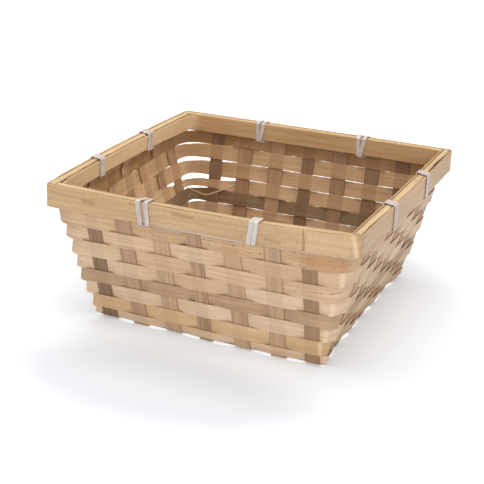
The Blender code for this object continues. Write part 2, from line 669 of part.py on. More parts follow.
def add_binding(material):
    """One unbroken strip of cane, bound twice round the rim at each of the eight ties."""
    frames = cane_frames(binding_stations())
    rings = [section(middle, across, through, CANE_WIDTH, CANE_THICKNESS)
             for middle, across, through in frames]
    length = sum(float(np.linalg.norm(after[0] - before[0])) for before, after in zip(frames, frames[1:]))
    gap = least_cane_gap(frames)
    print(f"cane length {length:.3f} m, least gap to itself {gap * 1000:.2f} mm, "
          f"wanted over {LEAST_CANE_GAP * 1000:.2f} mm")
    return add_strip("rim_binding", rings, material)


def main():
    clear_scene()
    stake = finish("stake_bamboo", (0.434, 0.275, 0.175), 0.62)
    dark_stake = finish("dark_stake_bamboo", (0.262, 0.162, 0.093), 0.65)
    weavers = {
        "plain": finish("weaver_bamboo", (0.686, 0.479, 0.314), 0.55),
        1: finish("speckled_weaver_bamboo", (0.610, 0.402, 0.235), 0.56),
        5: finish("brown_weaver_bamboo", (0.445, 0.290, 0.180), 0.58),
        7: finish("yellow_weaver_bamboo", (0.640, 0.440, 0.230), 0.52),
    }
    rim = finish("rim_bamboo", (0.645, 0.445, 0.242), 0.50)
    filler = finish("filler_bamboo", (0.620, 0.490, 0.300), 0.60)
    cane = finish("binding_cane", (0.680, 0.610, 0.590), 0.55)
    add_stakes(stake, dark_stake)
    add_weavers(weavers)
    add_band("rim_band_outer", HALF_RIM, OUTER_BAND_THICKNESS, OUTER_BAND_CORNER_RADII,
             BAND_BOTTOM, OUTER_LAP_PLACE, OUTER_LAP_LENGTH, rim)
    add_band("rim_band_inner", INNER_BAND_OUTSIDE, INNER_BAND_THICKNESS,
             [INNER_BAND_CORNER_RADIUS] * len(SIDES), INNER_BAND_BOTTOM,
             INNER_LAP_PLACE, INNER_LAP_LENGTH, rim)
    add_fillers(filler)
    add_binding(cane)


main()
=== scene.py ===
import math

import bpy
import numpy as np
from mathutils import Matrix, Vector


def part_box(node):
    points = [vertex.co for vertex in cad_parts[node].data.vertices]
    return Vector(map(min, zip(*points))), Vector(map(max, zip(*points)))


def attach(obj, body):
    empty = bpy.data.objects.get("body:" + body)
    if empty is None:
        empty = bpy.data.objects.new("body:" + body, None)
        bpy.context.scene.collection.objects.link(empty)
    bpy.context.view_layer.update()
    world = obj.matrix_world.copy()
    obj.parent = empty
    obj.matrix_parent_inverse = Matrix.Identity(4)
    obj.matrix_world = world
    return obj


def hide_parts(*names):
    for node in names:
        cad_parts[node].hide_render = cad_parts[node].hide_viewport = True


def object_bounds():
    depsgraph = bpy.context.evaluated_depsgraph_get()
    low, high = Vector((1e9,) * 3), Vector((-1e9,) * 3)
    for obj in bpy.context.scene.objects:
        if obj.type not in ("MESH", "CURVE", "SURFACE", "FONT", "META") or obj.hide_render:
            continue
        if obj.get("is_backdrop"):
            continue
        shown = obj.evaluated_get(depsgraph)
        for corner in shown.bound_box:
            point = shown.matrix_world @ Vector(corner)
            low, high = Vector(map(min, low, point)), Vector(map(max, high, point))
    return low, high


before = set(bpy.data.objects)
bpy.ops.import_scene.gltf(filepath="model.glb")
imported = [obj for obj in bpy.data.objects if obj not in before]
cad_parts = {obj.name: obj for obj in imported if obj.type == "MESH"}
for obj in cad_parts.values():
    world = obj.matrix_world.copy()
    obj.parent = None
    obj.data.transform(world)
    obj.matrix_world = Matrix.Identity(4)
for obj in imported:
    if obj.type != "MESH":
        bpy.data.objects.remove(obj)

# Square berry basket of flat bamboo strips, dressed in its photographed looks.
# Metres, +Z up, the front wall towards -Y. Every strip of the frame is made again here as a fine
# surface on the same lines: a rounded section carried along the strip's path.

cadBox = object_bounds()
print("frame loaded:", len(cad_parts), "strips")

# The basket as a whole. The rim is taken level first and then sloped with settle()
basket = {
    "halfRim": round(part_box("rim_band_outer")[1].x, 5),
    "height": 0.129,            # floor to the top of the rim, half way back
    "frontRise": 0.0085,        # front edge of the rim above its back edge
    "rightRise": 0.0015,
    "baseWidth": 0.214,
    "seat": 0.0003,             # clearance between touching strips
    "crossing": 0.0003,         # clearance where strips cross
    "margin": 0.0010,           # straight run of a strip past the one it crosses
    "step": 0.0013,             # spacing of the sections along a strip
    "skin": 0.00002,            # how far every surface stays inside the frame's box
}
# What every strip shares
stripShape = {
    "roundShare": 0.42,         # of the thickness that the edges' rounding takes
    "ribSlant": 0.012,
    "ribSpacings": (0.0011, 0.0026), "ribShares": (0.6, 0.4),
    "patternShift": 0.031,      # shift of the finish across the strip, times the strip's seed
    "sharpAngle": 50,           # degrees
}
stakeShape = {
    "width": 0.0145,
    "thickness": 0.0008,
    "bendRadius": 0.0014,       # where it turns up from the base
    "edgeMargin": 0.00375,      # base edge to the nearest stake
    "ribs": 0.00003,
    "edgeWave": 0.00022, "waveSpacing": 0.014,      # waviness of the split edges
    "toneWave": 0.18, "toneSpacing": 0.050,         # drift of the colour along the strip
    "sideWave": 0.00015, "sideSpacing": 0.020,      # of the strip's middle sideways
    "climbSteps": 40, "bendSteps": 9, "baseStep": 0.0004,
    "tuckRise": 0.0015, "tuckShift": 0.00012,       # the last bit of a stake, between the bands
    # where the stakes take a painted shade: their part on the back wall, and the middle of the base
    "backShadePlace": 0.06, "backShadeWidth": 0.04,
    "baseShade": 0.35, "baseShadePlace": 0.090, "baseShadeWidth": 0.012,
}
weaverShape = {
    "thickness": 0.0007,
    "frontGap": 0.00012,        # gap between rows
    "sideGap": 0.00042,
    "backGap": 0.00054,
    "cup": 0.00010,             # how far the middle of the strip stands above its edges
    "ribs": 0.00002,
    "edgeWave": 0.00009, "waveSpacing": 0.017, "hiddenWaveShare": 0.4,
    "toneWave": 0.22, "toneSpacing": 0.045,
    "planStep": 0.0003, "cornerSteps": 119, "ghostSoftness": 0.0004,
    "backFade": 0.10, "leftEdge": 0.080, "leftFade": 0.020, "middleEdge": 0.040, "middleFade": 0.06,
    "wallEdge": 0.110, "tieMargin": 0.0007, "tieFade": 0.0022,      # where it lies down under the ties
    "bulge": 0.00020,           # how far a row swells where it crosses a stake
    "tieRise": 0.0006,          # the top row stands this much higher at the ties
    "topRise": 0.0034,          # and this much away from them
    # by place from front to back: how far an edge reaches past its joint where rows lie on both sides
    # of the stakes, and how much higher a row sits on the side that faces the front right
    "places": (-0.12, -0.09, 0.09, 0.12),
    "reaches": (0.00030, 0.00030, 0.00030, 0.00014),
    "lifts": (0.00036, 0.00080, 0.00080, 0.00042), "lowestLiftShare": 0.4,
    "frontEdge": 0.10, "rightEdge": 0.11,       # where the reach starts later
    "reachStartShare": 0.30, "reachFullShare": 0.62,    # of the way from the stakes' middle to one side
    "lapReach": 0.00030,
    "ghost": 0.38,              # shade of the stake that shows through a row lying on it, inside
    "outerGhost": 0.40,         # share of that shade on the outer face
}
backGapShares = (0.5, 0.7, 0.8, 0.35, 1.0, 1.1, 0.35)       # of the back gap, lowest joint first
# Wide gaps round the back left corner, for the joints from the lowest up: gap, shift up and reach
cornerGaps = (0.0003, 0.0004, 0.0004, 0.0010, 0.0038, 0.0022, 0.0001)
cornerShifts = (0.0, 0.0, -0.0008, 0.0, -0.0034, -0.0013, -0.0010)
cornerGapReaches = (0.040, 0.040, 0.050, 0.040, 0.072, 0.050, 0.040)
cornerGapPlace, cornerGapFlatShare = 0.125, 0.35
# The foot isn't quite square: shifts of the front wall in y by x, and of the right wall in x by y.
# They fade out by "fade" up the wall, and by "depth" into the base
footWarp = {
    "fade": 0.048, "depth": 0.050,
    "frontPlaces": (-0.107, -0.034, 0.031, 0.107), "frontShifts": (0.0044, 0.0007, -0.0024, -0.0030),
    "rightPlaces": (-0.107, -0.092, -0.060, 0.070, 0.107),
    "rightShifts": (-0.0006, -0.0030, -0.0045, -0.0045, -0.0014),
}
# The left wall stands further out under the rim
leftWarp = {"shift": 0.0038, "top": 0.1082, "fade": 0.007, "depth": 0.009, "lean": 0.13}
# The front of the rim sags between its corners, less at its top edge than at its lower one
rimSag = {
    "start": 0.086, "top": 0.0034, "foot": 0.0022, "edge": 0.085, "fade": 0.030, "limitShare": 1.03,
    "topPlaces": (-0.1412, -0.075, 0.0, 0.060, 0.125, 0.1412), "topShares": (0.0, 0.75, 1.0, 0.9, 0.15, 0.0),
    "footPlaces": (-0.1412, -0.122, -0.075, -0.010, 0.045, 0.090, 0.125, 0.1412),
    "footShares": (0.70, 1.0, 0.90, 0.55, 0.80, 0.50, 0.05, 0.0),
}
# The rim's left side stands higher in its middle and the right one lower. The inner band is narrower there
rimBow = {
    "left": 0.0018, "right": -0.0016, "start": 0.085, "edge": 0.108, "fade": 0.022,
    "narrowing": 0.0020, "narrowStart": 0.096, "narrowHeight": 0.017,
}
bandShape = {
    "outerHeight": 0.0203,
    "outerThickness": 0.0013,
    "innerHeight": 0.0172,
    "innerThickness": 0.0011,
    "outerRadii": (0.0016, 0.0130, 0.0050, 0.0030),   # front left, then anticlockwise
    "innerRadius": 0.0030,
    "outerLapPlace": 0.0940,    # end of the lap on the front, right of the middle
    "outerLapLength": 0.0240,
    "innerLapPlace": 0.0120,
    "innerLapLength": 0.0180,
    "lapStep": 0.0012,
    "cornerSteps": 40,
    "edgeWave": 0.00018, "waveSpacing": 0.030,
    "toneWave": 0.15, "toneSpacing": 0.060,
    "frontEdge": 0.115, "frontFade": 0.012, "leftEdge": 0.118, "sideFade": 0.010, "rightEdge": 0.128,
    "paleLength": 0.20,
}
fillerShape = {
    "width": 0.0070, "height": 0.0042, "drop": 0.0004,
    "frontInset": 0.0005, "leftInset": 0.0007,    # seams that show beside the front and left fillers
    # wedge between the right filler and the outer band, by place from front to back
    "rightPlaces": (-0.132, -0.105, -0.066, 0.046, 0.094, 0.126),
    "rightInsets": (0.0, 0.0012, 0.0, 0.0, 0.0025, 0.0005),
    "leastWidth": 0.0008, "sideTrim": 0.00005, "topTrim": 0.0002,
    "topWave": 0.00012, "topSpacing": 0.02, "toneWave": 0.2, "toneSpacing": 0.04,
}
caneShape = {
    "width": 0.0042,
    "thickness": 0.00085,
    "clearance": 0.00045,
    "turnMargin": 0.0005,
    "tail": 0.0180,
    "show": 0.0018,             # how far it shows below the band along the front's left part
    "showRight": 0.0011,
    "roundness": 0.0011,        # how much wider than tight the turns over the rim's edges are
    "step": 0.00052,            # spacing of the sections along the cane
    "stationSteps": 24,         # points of the curve between two stations of its route
    "edgeWave": 0.00008, "waveSpacing": 0.011,
    "toneWave": 0.3, "toneSpacing": 0.030,
}
# Places of the stakes off their even places, as shares of their pitch
footShiftShares = np.array((-0.03, -0.08, -0.07, -0.08, 0.02, 0.05, 0.02))
frontShiftShares = np.array((-0.109, -0.206, -0.144, -0.169, -0.138, 0.028, 0.01))
backShiftShares = np.array((-0.18, -0.21, -0.13, -0.07, -0.07, -0.02, -0.097))
sideFootShiftShares = np.array((0.0, -0.02, 0.02, 0.0, 0.0, 0.0, 0.0))
rightShiftShares = np.array((-0.05, 0.03, -0.04, 0.02, 0.04, 0.03, 0.0))
leftShiftShares = np.array((0.0, -0.02, 0.03, 0.0, -0.02, 0.01, 0.0))
stakeWidthShares = np.array((0.93, 1.03, 1.06, 0.87, 1.03, 0.99, 0.93))
sideStakeWidthShares = np.array((1.0, 0.97, 0.87, 1.06, 0.84, 1.03, 1.17))
# Joints between rows, as shares of the wall's height below the band
rowJointShares = (0.097, 0.226, 0.357, 0.474, 0.601, 0.740, 0.875)
# Corners of the rows, front left and then anticlockwise: length of the curve's handles and lean.
# The front left one differs by row, from the hidden row down, and swells a little
frontLeftFullnessShares = (1.0, 0.66, 0.60, 0.60, 0.80, 0.62, 0.85, 0.85, 1.0)
frontLeftSwells = (0.0, 0.0070, 0.0032, 0.0034, -0.0018, 0.0035, -0.0010, -0.0004, 0.0)
frontRightFullnessShares = (1.0, 0.55, 0.50, 0.62, 0.50, 0.62, 0.50, 0.50, 0.80)
frontRightFolds = {2: 0.0078, 4: 0.0080, 6: 0.0070, 7: 0.0074}      # folds, set in from the walls' crossing
foldTurnShare, foldShift = 0.20, 0.0006          # how soon a fold's curve heads for the next wall
backFullnessShares = (0.40, 0.60)
cornerLeanShares = (-0.14, 0.10, 0.10, -0.08)
topRowLeanShare = 0.12           # the top row's lean at the front left
tiePlaceShares = (1.0, 0.38, 0.5, 0.8, -0.95, 0.1, 0.7, 0.9)
tieSpreadShares = (1.65, 1.12, 1.15, 1.15, 1.45, 1.35, 1.30, 1.15)
# Shifts of each tie's two strands along the rim: outside low and high, inside high and low
tieShifts = (
    ((0.0032, 0.0008, 0.0038, 0.0), (0.0027, 0.0013, 0.0018, 0.0)),
    ((0.0000, 0.0018, 0.0026, 0.0), (-0.0003, 0.0014, 0.0020, 0.0)),
    ((0.0, 0.0, 0.0030, 0.0), (0.0, 0.0, 0.0030, 0.0)),
    ((0.0, 0.0, 0.0030, 0.0), (0.0, 0.0, 0.0030, 0.0)),
    ((0.0, 0.0, 0.0008, 0.0020), (0.0, 0.0, 0.0006, 0.0)),
    ((0.0, 0.0, 0.0006, 0.0020), (0.0, 0.0, 0.0004, 0.0)),
    ((0.0, 0.0045, 0.0070, 0.0100), (0.0, 0.0045, 0.0070, 0.0090)),
    ((0.0, 0.0045, 0.0065, 0.0085), (0.0, 0.0045, 0.0065, 0.0075)),
)
crossedTies = (4, 5)             # ties whose first strand crosses over the second at the inner band's foot

quarter = math.pi / 2
sides = (0, 1, 2, 3)            # front, right, back, left
sideNames = ("front", "right", "back", "left")
stakeCount = 7
rowCount = len(rowJointShares) + 1
hiddenGap = 0.0004              # from the hidden weaver to the cane below it and the filler above it

# Sizes that follow from those above
halfRim = basket["halfRim"]
halfBox = cadBox[1][0]
height = basket["height"]
seat = basket["seat"]
bandBottom = height - bandShape["outerHeight"]
bandInside = halfRim - bandShape["outerThickness"]
fillerTop = height - fillerShape["drop"]
fillerBottom = fillerTop - fillerShape["height"]
fillerOutside = bandInside - seat
fillerInside = fillerOutside - fillerShape["width"]
innerBandOutside = fillerInside - seat
innerBandInside = innerBandOutside - bandShape["innerThickness"]
innerBandBottom = height - bandShape["innerHeight"]
caneHalf = caneShape["thickness"] / 2
caneOutsideLane = halfRim + seat + caneHalf
caneRunLane = bandInside - seat - caneHalf
weaveOffset = (stakeShape["thickness"] + weaverShape["thickness"]) / 2 + basket["crossing"]
weaveHalf = weaveOffset + weaverShape["thickness"] / 2
rimLane = caneRunLane - caneHalf - seat - weaveHalf
footLane = basket["baseWidth"] / 2 - stakeShape["thickness"] / 2
wallSlope = (rimLane - footLane) / bandBottom
wallCosine = 1 / math.hypot(1, wallSlope)
stakeTop = fillerBottom - seat
stakePitch = (basket["baseWidth"] - 2 * stakeShape["edgeMargin"] - stakeShape["width"]) / (stakeCount - 1)
lowLevel = stakeShape["thickness"] / 2
highLevel = lowLevel + stakeShape["thickness"] + basket["crossing"]
rowsBottom = (highLevel + stakeShape["bendRadius"]
              - (stakeShape["bendRadius"] - stakeShape["thickness"] / 2) * wallSlope * wallCosine)
turnRadius = caneShape["width"] / 2 + caneShape["turnMargin"]
wrapRadius = seat + caneHalf
riseRadius = caneHalf + seat + caneShape["clearance"] / 2
passStart = (innerBandOutside, innerBandBottom - wrapRadius)
passEnd = (bandInside, bandBottom - wrapRadius)
passSlope = (passEnd[1] - passStart[1]) / (passEnd[0] - passStart[0])
passHalf = caneHalf * math.hypot(1, passSlope)
weaveIn = rimLane - weaveHalf
weaveOut = rimLane + weaveHalf


def passHeight(lane):
    return passStart[1] + passSlope * (lane - passStart[0])


lastPass = max(passHeight(weaveIn), passHeight(weaveOut)) + passHalf + caneShape["clearance"] + caneHalf
rowsTop = min(passHeight(weaveIn), passHeight(weaveOut)) - passHalf - seat
hiddenBottom = lastPass + caneHalf + hiddenGap
hiddenTop = stakeTop - hiddenGap
runLow = bandBottom - caneShape["show"] + caneShape["width"] / 2
hookCentre = bandBottom - seat
runArrive = hookCentre + turnRadius
runLeave = lastPass + riseRadius + turnRadius


def stakePlaces(shiftShares):
    return (np.arange(stakeCount) - (stakeCount - 1) / 2 + shiftShares) * stakePitch


footPlaces = stakePlaces(footShiftShares)
frontPlaces = stakePlaces(frontShiftShares)
backPlaces = stakePlaces(backShiftShares)
sideFootPlaces = stakePlaces(sideFootShiftShares)
rightPlaces = stakePlaces(rightShiftShares)
leftPlaces = stakePlaces(leftShiftShares)
stakeWidths = stakeShape["width"] * stakeWidthShares
sideStakeWidths = stakeShape["width"] * sideStakeWidthShares


# height of the sloping rim over its middle: linear in x and y
def rimRise(x, y):
    return (basket["rightRise"] * x - basket["frontRise"] * y) / (2 * halfRim)


def smooth(share):
    share = np.clip(share, 0, 1)
    return share * share * (3 - 2 * share)


# distance of the stakes' middle from the axis at a height
def wallLane(level):
    return footLane + wallSlope * level


# settled z = z + rimRise(x, y) * min(z / bandBottom, 1); nothing moves on the floor. The front of the
# rim sags: z -= foot(x) * lift + (top(x) - foot(x)) * band, lift and band rising from 0 to 1 with z.
# The foot shifts: y += shift(x) * nearFront * low and x += shift(y) * nearRight * low. The left wall
# under the rim shifts: x -= shift * nearLeft * underRim. The sides of the rim bow:
# z += bow(side) * arch(y) * lift. Nothing passes the frame's own box, less the skin
def settle(points):
    points = np.array(points, float)
    x, y, z = points[..., 0].copy(), points[..., 1].copy(), points[..., 2].copy()
    points[..., 2] += rimRise(x, y) * np.minimum(z / bandBottom, 1)
    front = smooth((-y - rimSag["edge"]) / rimSag["fade"])
    top = rimSag["top"] * np.interp(x, rimSag["topPlaces"], rimSag["topShares"])
    foot = rimSag["foot"] * np.interp(x, rimSag["footPlaces"], rimSag["footShares"])
    lift = smooth((z - rimSag["start"]) / (bandBottom - rimSag["start"]))
    band = np.clip((z - bandBottom) / (height - bandBottom), 0, rimSag["limitShare"])
    points[..., 2] -= front * (foot * lift + (top - foot) * band)
    arch = 1 - np.minimum((y / halfRim) ** 2, 1)
    onLeft, onRight = (smooth((out - rimBow["edge"]) / rimBow["fade"]) for out in (-x, x))
    lift = smooth((z - rimBow["start"]) / (bandBottom - rimBow["start"]))
    points[..., 2] += (rimBow["left"] * onLeft + rimBow["right"] * onRight) * arch * lift
    squeeze = (smooth((z - rimBow["narrowStart"]) / (innerBandBottom - rimBow["narrowStart"]))
               * (1 - smooth((z - innerBandBottom) / rimBow["narrowHeight"])))
    points[..., 2] += rimBow["narrowing"] * onLeft * arch * squeeze
    low = 1 - smooth(z / footWarp["fade"])
    inner = basket["baseWidth"] / 2 - footWarp["depth"]
    nearFront = smooth((-y - inner) / footWarp["depth"])
    nearRight = smooth((x - inner) / footWarp["depth"])
    points[..., 1] += np.interp(x, footWarp["frontPlaces"], footWarp["frontShifts"]) * nearFront * low
    points[..., 0] += np.interp(y, footWarp["rightPlaces"], footWarp["rightShifts"]) * nearRight * low
    begin = wallLane(z) - leftWarp["depth"] - leftWarp["lean"] * np.clip(z, 0, bandBottom)
    nearLeft = smooth((-x - begin) / (wallLane(z) - begin))
    points[..., 0] -= leftWarp["shift"] * nearLeft * smooth((leftWarp["top"] - z) / leftWarp["fade"])
    points[..., 2] = np.maximum(points[..., 2], basket["skin"])
    edge = halfBox - basket["skin"]
    points[..., :2] = np.clip(points[..., :2], -edge, edge)
    return points


# value between knots that stays level at each knot: smooth steps from knot to knot
def easedLine(place, knots, values):
    index = np.clip(np.searchsorted(knots, place, side="right") - 1, 0, len(knots) - 2)
    share = smooth((place - knots[index]) / (knots[index + 1] - knots[index]))
    return values[index] + (values[index + 1] - values[index]) * share


# smooth noise from -1 to 1 along a line: seeded values at even knots with smooth steps between
def drift(place, spacing, seed):
    knots = np.random.default_rng(seed).uniform(-1, 1, 2048)
    step = np.asarray(place) / spacing + 700.0
    low = np.floor(step).astype(int)
    share = smooth(step - low)
    return knots[low % 2048] * (1 - share) + knots[(low + 1) % 2048] * share


# plan place of points given along a side and out from the axis
def sidePoints(side, along, out):
    cosine, sine = round(math.cos(side * quarter)), round(math.sin(side * quarter))
    return along * cosine + out * sine, along * sine - out * cosine


def unit(rows):
    return rows / np.linalg.norm(rows, axis=-1, keepdims=True)


# outward of a line in plan: square to its way
def outwardAlong(x, y):
    way = unit(np.stack((np.gradient(x), np.gradient(y)), axis=1))
    return np.stack((way[:, 1], -way[:, 0], np.zeros_like(x)), axis=1)


# cumulative length along rows of points
def lengthAlong(points):
    return np.concatenate(([0.0], np.cumsum(np.linalg.norm(np.diff(points, axis=0), axis=1))))


# even places along a line, and each column of values read there
def evenly(length, columns, step):
    count = max(2, int(round(length[-1] / step)))
    place = np.linspace(0, length[-1], count + 1)
    return place, [np.interp(place, length, column) for column in columns]


# a strip's edges and tone: half + wave * noise to each side, and tone + toneWave * noise
def wandering(place, half, shape, look, waveShare=1):
    wave = shape["edgeWave"] * waveShare
    return {
        "place": place,
        "lower": half + wave * drift(place, shape["waveSpacing"], look["seed"] + 5),
        "upper": half + wave * drift(place, shape["waveSpacing"], look["seed"] + 6),
        "tone": look["tone"] + shape["toneWave"] * drift(place, shape["toneSpacing"], look["seed"] + 7),
    }


# Closed outline of a strip's section. Each point is (run, side, roundX, roundY):
# across = run * (halfWidth - radius) + roundX * radius,
# through = side * (halfThick - radius) + roundY * radius
def sectionOutline(faceSteps, roundSteps):
    run = np.linspace(-1, 1, faceSteps + 1)
    one = np.ones_like(run)
    top = np.stack((run, one, one * 0, one), axis=1)
    angle = np.linspace(quarter, -quarter, 2 * roundSteps + 1)[1:-1]
    right = np.stack((np.ones_like(angle), np.sign(np.round(angle, 6)), np.cos(angle), np.sin(angle)), axis=1)
    bottom = np.stack((run[::-1], -one, one * 0, -one), axis=1)
    return np.concatenate((top, right, bottom, -right))


# A strip: sections carried along a path.
# point = middle + across * x + through * y, with x and y from the outline, the strip's halves
# and the cup: y += cup * (1 - run^2). Attributes keep place along, across and through.
def addStrip(node, line, outline, slotName, look, ending="_strip"):
    middle, across, through = line["middle"], line["across"], line["through"]
    lower, upper, thick = line["lower"], line["upper"], line["thick"]
    count, ring = len(middle), len(outline)
    radius = (np.minimum(thick, np.minimum(lower, upper) * 2) * stripShape["roundShare"])[:, None]
    run, side, roundX, roundY = outline.T
    reach = np.where(run[None, :] < 0, lower[:, None], upper[:, None])
    x = run * (reach - radius) + roundX * radius
    y = side * (thick[:, None] / 2 - radius) + roundY * radius
    y = y + look.get("cup", 0.0) * (1 - run * run)
    ribs = look.get("ribs", 0.0)
    if ribs:
        slanted = x + line["place"][:, None] * stripShape["ribSlant"]
        fine, coarse = (
            drift(where, spacing, look["seed"] + shift) * share for where, spacing, share, shift in
            zip((slanted, x), stripShape["ribSpacings"], stripShape["ribShares"], (0, 1)))
        y = y + ribs * roundY * (fine + coarse)
    points = settle(middle[:, None, :] + across[:, None, :] * x[..., None]
                    + through[:, None, :] * y[..., None])
    index = np.arange(count * ring).reshape(count, ring)
    here, after = index[:-1], index[1:]
    quads = np.stack((here, np.roll(here, -1, 1), np.roll(after, -1, 1), after), axis=-1).reshape(-1, 4)
    loops = np.concatenate((quads.ravel(), index[0][::-1], index[-1]))
    starts = np.concatenate((np.arange(len(quads)) * 4, [len(quads) * 4, len(quads) * 4 + ring]))
    # the outline must turn so that the faces point outwards: across x through against the way along
    way = middle[min(5, count - 1)] - middle[0]
    if np.dot(np.cross(across[0], through[0]), way) > 0:
        loops = np.concatenate((quads[:, ::-1].ravel(), index[0], index[-1][::-1]))
    mesh = bpy.data.meshes.new(node + ending)
    mesh.vertices.add(count * ring)
    mesh.vertices.foreach_set("co", points.reshape(-1).astype(np.float32))
    mesh.loops.add(len(loops))
    mesh.loops.foreach_set("vertex_index", loops.astype(np.int32))
    mesh.polygons.add(len(starts))
    mesh.polygons.foreach_set("loop_start", starts.astype(np.int32))
    mesh.update(calc_edges=True)
    mesh.polygons.foreach_set("use_smooth", np.ones(len(starts), bool))
    place = np.stack((
        np.broadcast_to(line["place"][:, None], x.shape),
        x + look["seed"] * stripShape["patternShift"],
        np.broadcast_to(y * 2, x.shape)), axis=-1)
    edge = np.abs(x) / np.maximum(reach, 1e-6)
    tone = np.broadcast_to(line.get("tone", np.zeros(count))[:, None], x.shape)
    # the third look value is painted shade: where a stake shows through a row, and on the stakes' part on the
    # back wall and in the middle of the base
    soilAndShade = line.get("soilAndShade", np.zeros(count))[:, None] * np.where(roundY < 0, 1.0, weaverShape["outerGhost"])
    values = np.stack((edge, tone, soilAndShade), axis=-1)
    for title, data in (("stripPlace", place), ("stripLook", values)):
        layer = mesh.attributes.new(title, "FLOAT_VECTOR", "POINT")
        layer.data.foreach_set("vector", np.ascontiguousarray(data, np.float32).reshape(-1))
    mesh.materials.append(materials[slotName])
    piece = bpy.data.objects.new(node + ending, mesh)
    bpy.context.scene.collection.objects.link(piece)
    mesh.set_sharp_from_angle(angle=math.radians(stripShape["sharpAngle"]))
    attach(piece, "root")
    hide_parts(node)


# Shader node groups. Lengths that go into them are metres.

# inputs come as {title: plain value, or None for a vector}, outputs as titles of numbers
def newGroup(name, inputs, outputs):
    group = bpy.data.node_groups.new(name, "ShaderNodeTree")
    for title, value in inputs.items():
        kind = "NodeSocketVector" if value is None else "NodeSocketFloat"
        socket = group.interface.new_socket(title, in_out="INPUT", socket_type=kind)
        if value is not None:
            socket.default_value = value
    for title in outputs:
        group.interface.new_socket(title, in_out="OUTPUT", socket_type="NodeSocketFloat")
    return group, group.nodes.new("NodeGroupInput").outputs, group.nodes.new("NodeGroupOutput").inputs


# a socket takes a plain value, or a link from another socket
def feed(tree, socket, value):
    if isinstance(value, bpy.types.NodeSocket):
        tree.links.new(value, socket)
    else:
        socket.default_value = value


def addNode(tree, kind, inputs=(), **settings):
    node = tree.nodes.new(kind)
    for key, value in settings.items():
        setattr(node, key, value)
    for socket, value in dict(inputs).items():
        feed(tree, node.inputs[socket], value)
    return node


def maths(tree, operation, *values, clamp=False):
    return addNode(tree, "ShaderNodeMath", enumerate(values), operation=operation, use_clamp=clamp).outputs[0]


def vectors(tree, operation, first, second, output="Vector"):
    return addNode(tree, "ShaderNodeVectorMath", {0: first, 1: second}, operation=operation).outputs[output]


def scaledVector(tree, vector, scale):
    node = addNode(tree, "ShaderNodeVectorMath", {0: vector, "Scale": scale}, operation="SCALE")
    return node.outputs["Vector"]


def stepBetween(tree, value, low, high):
    inputs = {"Value": value, "From Min": low, "From Max": high}
    return addNode(tree, "ShaderNodeMapRange", inputs, interpolation_type="SMOOTHSTEP").outputs["Result"]


def fallBetween(tree, value, low, high):
    return maths(tree, "SUBTRACT", 1.0, stepBetween(tree, value, low, high))


def mixColour(tree, share, first, second, blend="MIX"):
    return addNode(tree, "ShaderNodeMix", {"Factor": share, 6: first, 7: second}, data_type="RGBA",
                   blend_type=blend, clamp_factor=True).outputs[2]


def noise(tree, place, detail, roughness=0.5, scale=1.0):
    inputs = {"Vector": place, "Scale": scale, "Detail": detail, "Roughness": roughness}
    return addNode(tree, "ShaderNodeTexNoise", inputs).outputs["Fac"]


def parted(tree, vector):
    return addNode(tree, "ShaderNodeSeparateXYZ", {"Vector": vector}).outputs


# place on a strip in lengths and widths of a pattern's cell
def inCells(tree, along, across, length, width, depth):
    return addNode(tree, "ShaderNodeCombineXYZ", {
        "X": maths(tree, "DIVIDE", along, length), "Y": maths(tree, "DIVIDE", across, width), "Z": depth,
    }).outputs[0]


# Fibres, streaks and blotches of split bamboo: noise stretched along the strip
def bambooGrainGroup():
    group, start, end = newGroup(
        "bambooGrain", {"Place": None, "Fibre Width": 0.0006, "Fibre Length": 0.030, "Streak Width": 0.0028},
        ("Fibre", "Streak", "Blotch", "Line"))
    along, across, through = parted(group, start["Place"])
    side = maths(group, "MULTIPLY", through, 900.0)

    def stretched(length, width, seed, detail, roughness):
        place = inCells(group, along, across, length, width, maths(group, "ADD", side, seed))
        return noise(group, place, detail, roughness)

    fibreLength = start["Fibre Length"]
    streakLength = maths(group, "MULTIPLY", fibreLength, 2.6)
    for title, values in (("Fibre", (fibreLength, start["Fibre Width"], 1.0, 3.0, 0.6)),
                          ("Streak", (streakLength, start["Streak Width"], 5.0, 2.0, 0.5)),
                          ("Blotch", (0.034, 0.011, 9.0, 2.0, 0.55))):
        feed(group, end[title], stepBetween(group, stretched(*values), 0.28, 0.72))
    # thin dark lines: the lowest part of a noise that hardly changes along the strip
    feed(group, end["Line"], fallBetween(group, stretched(0.140, 0.00075, 13.0, 1.0, 0.4), 0.34, 0.46))
    return group


# Worn, split edges, and on the fillers a painted shade along the seams: a mask that grows towards the strip's
# edges and breaks up with noise
def edgeWearAndShadeGroup():
    group, start, end = newGroup(
        "edgeWearAndShade", {"Place": None, "Edge": 0.0, "Width": 0.14, "Amount": 1.0}, ("Mask",))
    broken = maths(group, "SUBTRACT", noise(group, start["Place"], 3.0, 0.6, 160.0), 0.5)
    shifted = maths(group, "ADD", start["Edge"], maths(group, "MULTIPLY", broken, 0.22))
    near = stepBetween(group, shifted, maths(group, "SUBTRACT", 1.0, start["Width"]), 1.0)
    feed(group, end["Mask"], maths(group, "MULTIPLY", near, start["Amount"], clamp=True))
    return group


# Dark specks in strings along the fibres
def darkSpecksGroup():
    group, start, end = newGroup("darkSpecks", {"Place": None, "Spacing": 0.0030, "Amount": 0.5}, ("Mask",))
    along, across, _ = parted(group, start["Place"])
    length = maths(group, "MULTIPLY", start["Spacing"], 1.4)
    width = maths(group, "MULTIPLY", start["Spacing"], 0.45)
    cells = inCells(group, along, across, length, width, 3.0)
    dots = addNode(group, "ShaderNodeTexVoronoi", {"Scale": 1.0, "Vector": cells}).outputs["Distance"]
    strings = noise(group, inCells(group, along, across, 0.030, 0.0024, 7.0), 1.0)
    low = maths(group, "SUBTRACT", 0.80, maths(group, "MULTIPLY", start["Amount"], 0.35))
    chosen = stepBetween(group, strings, low, maths(group, "ADD", low, 0.10))
    feed(group, end["Mask"], maths(group, "MULTIPLY", fallBetween(group, dots, 0.16, 0.36), chosen))
    return group


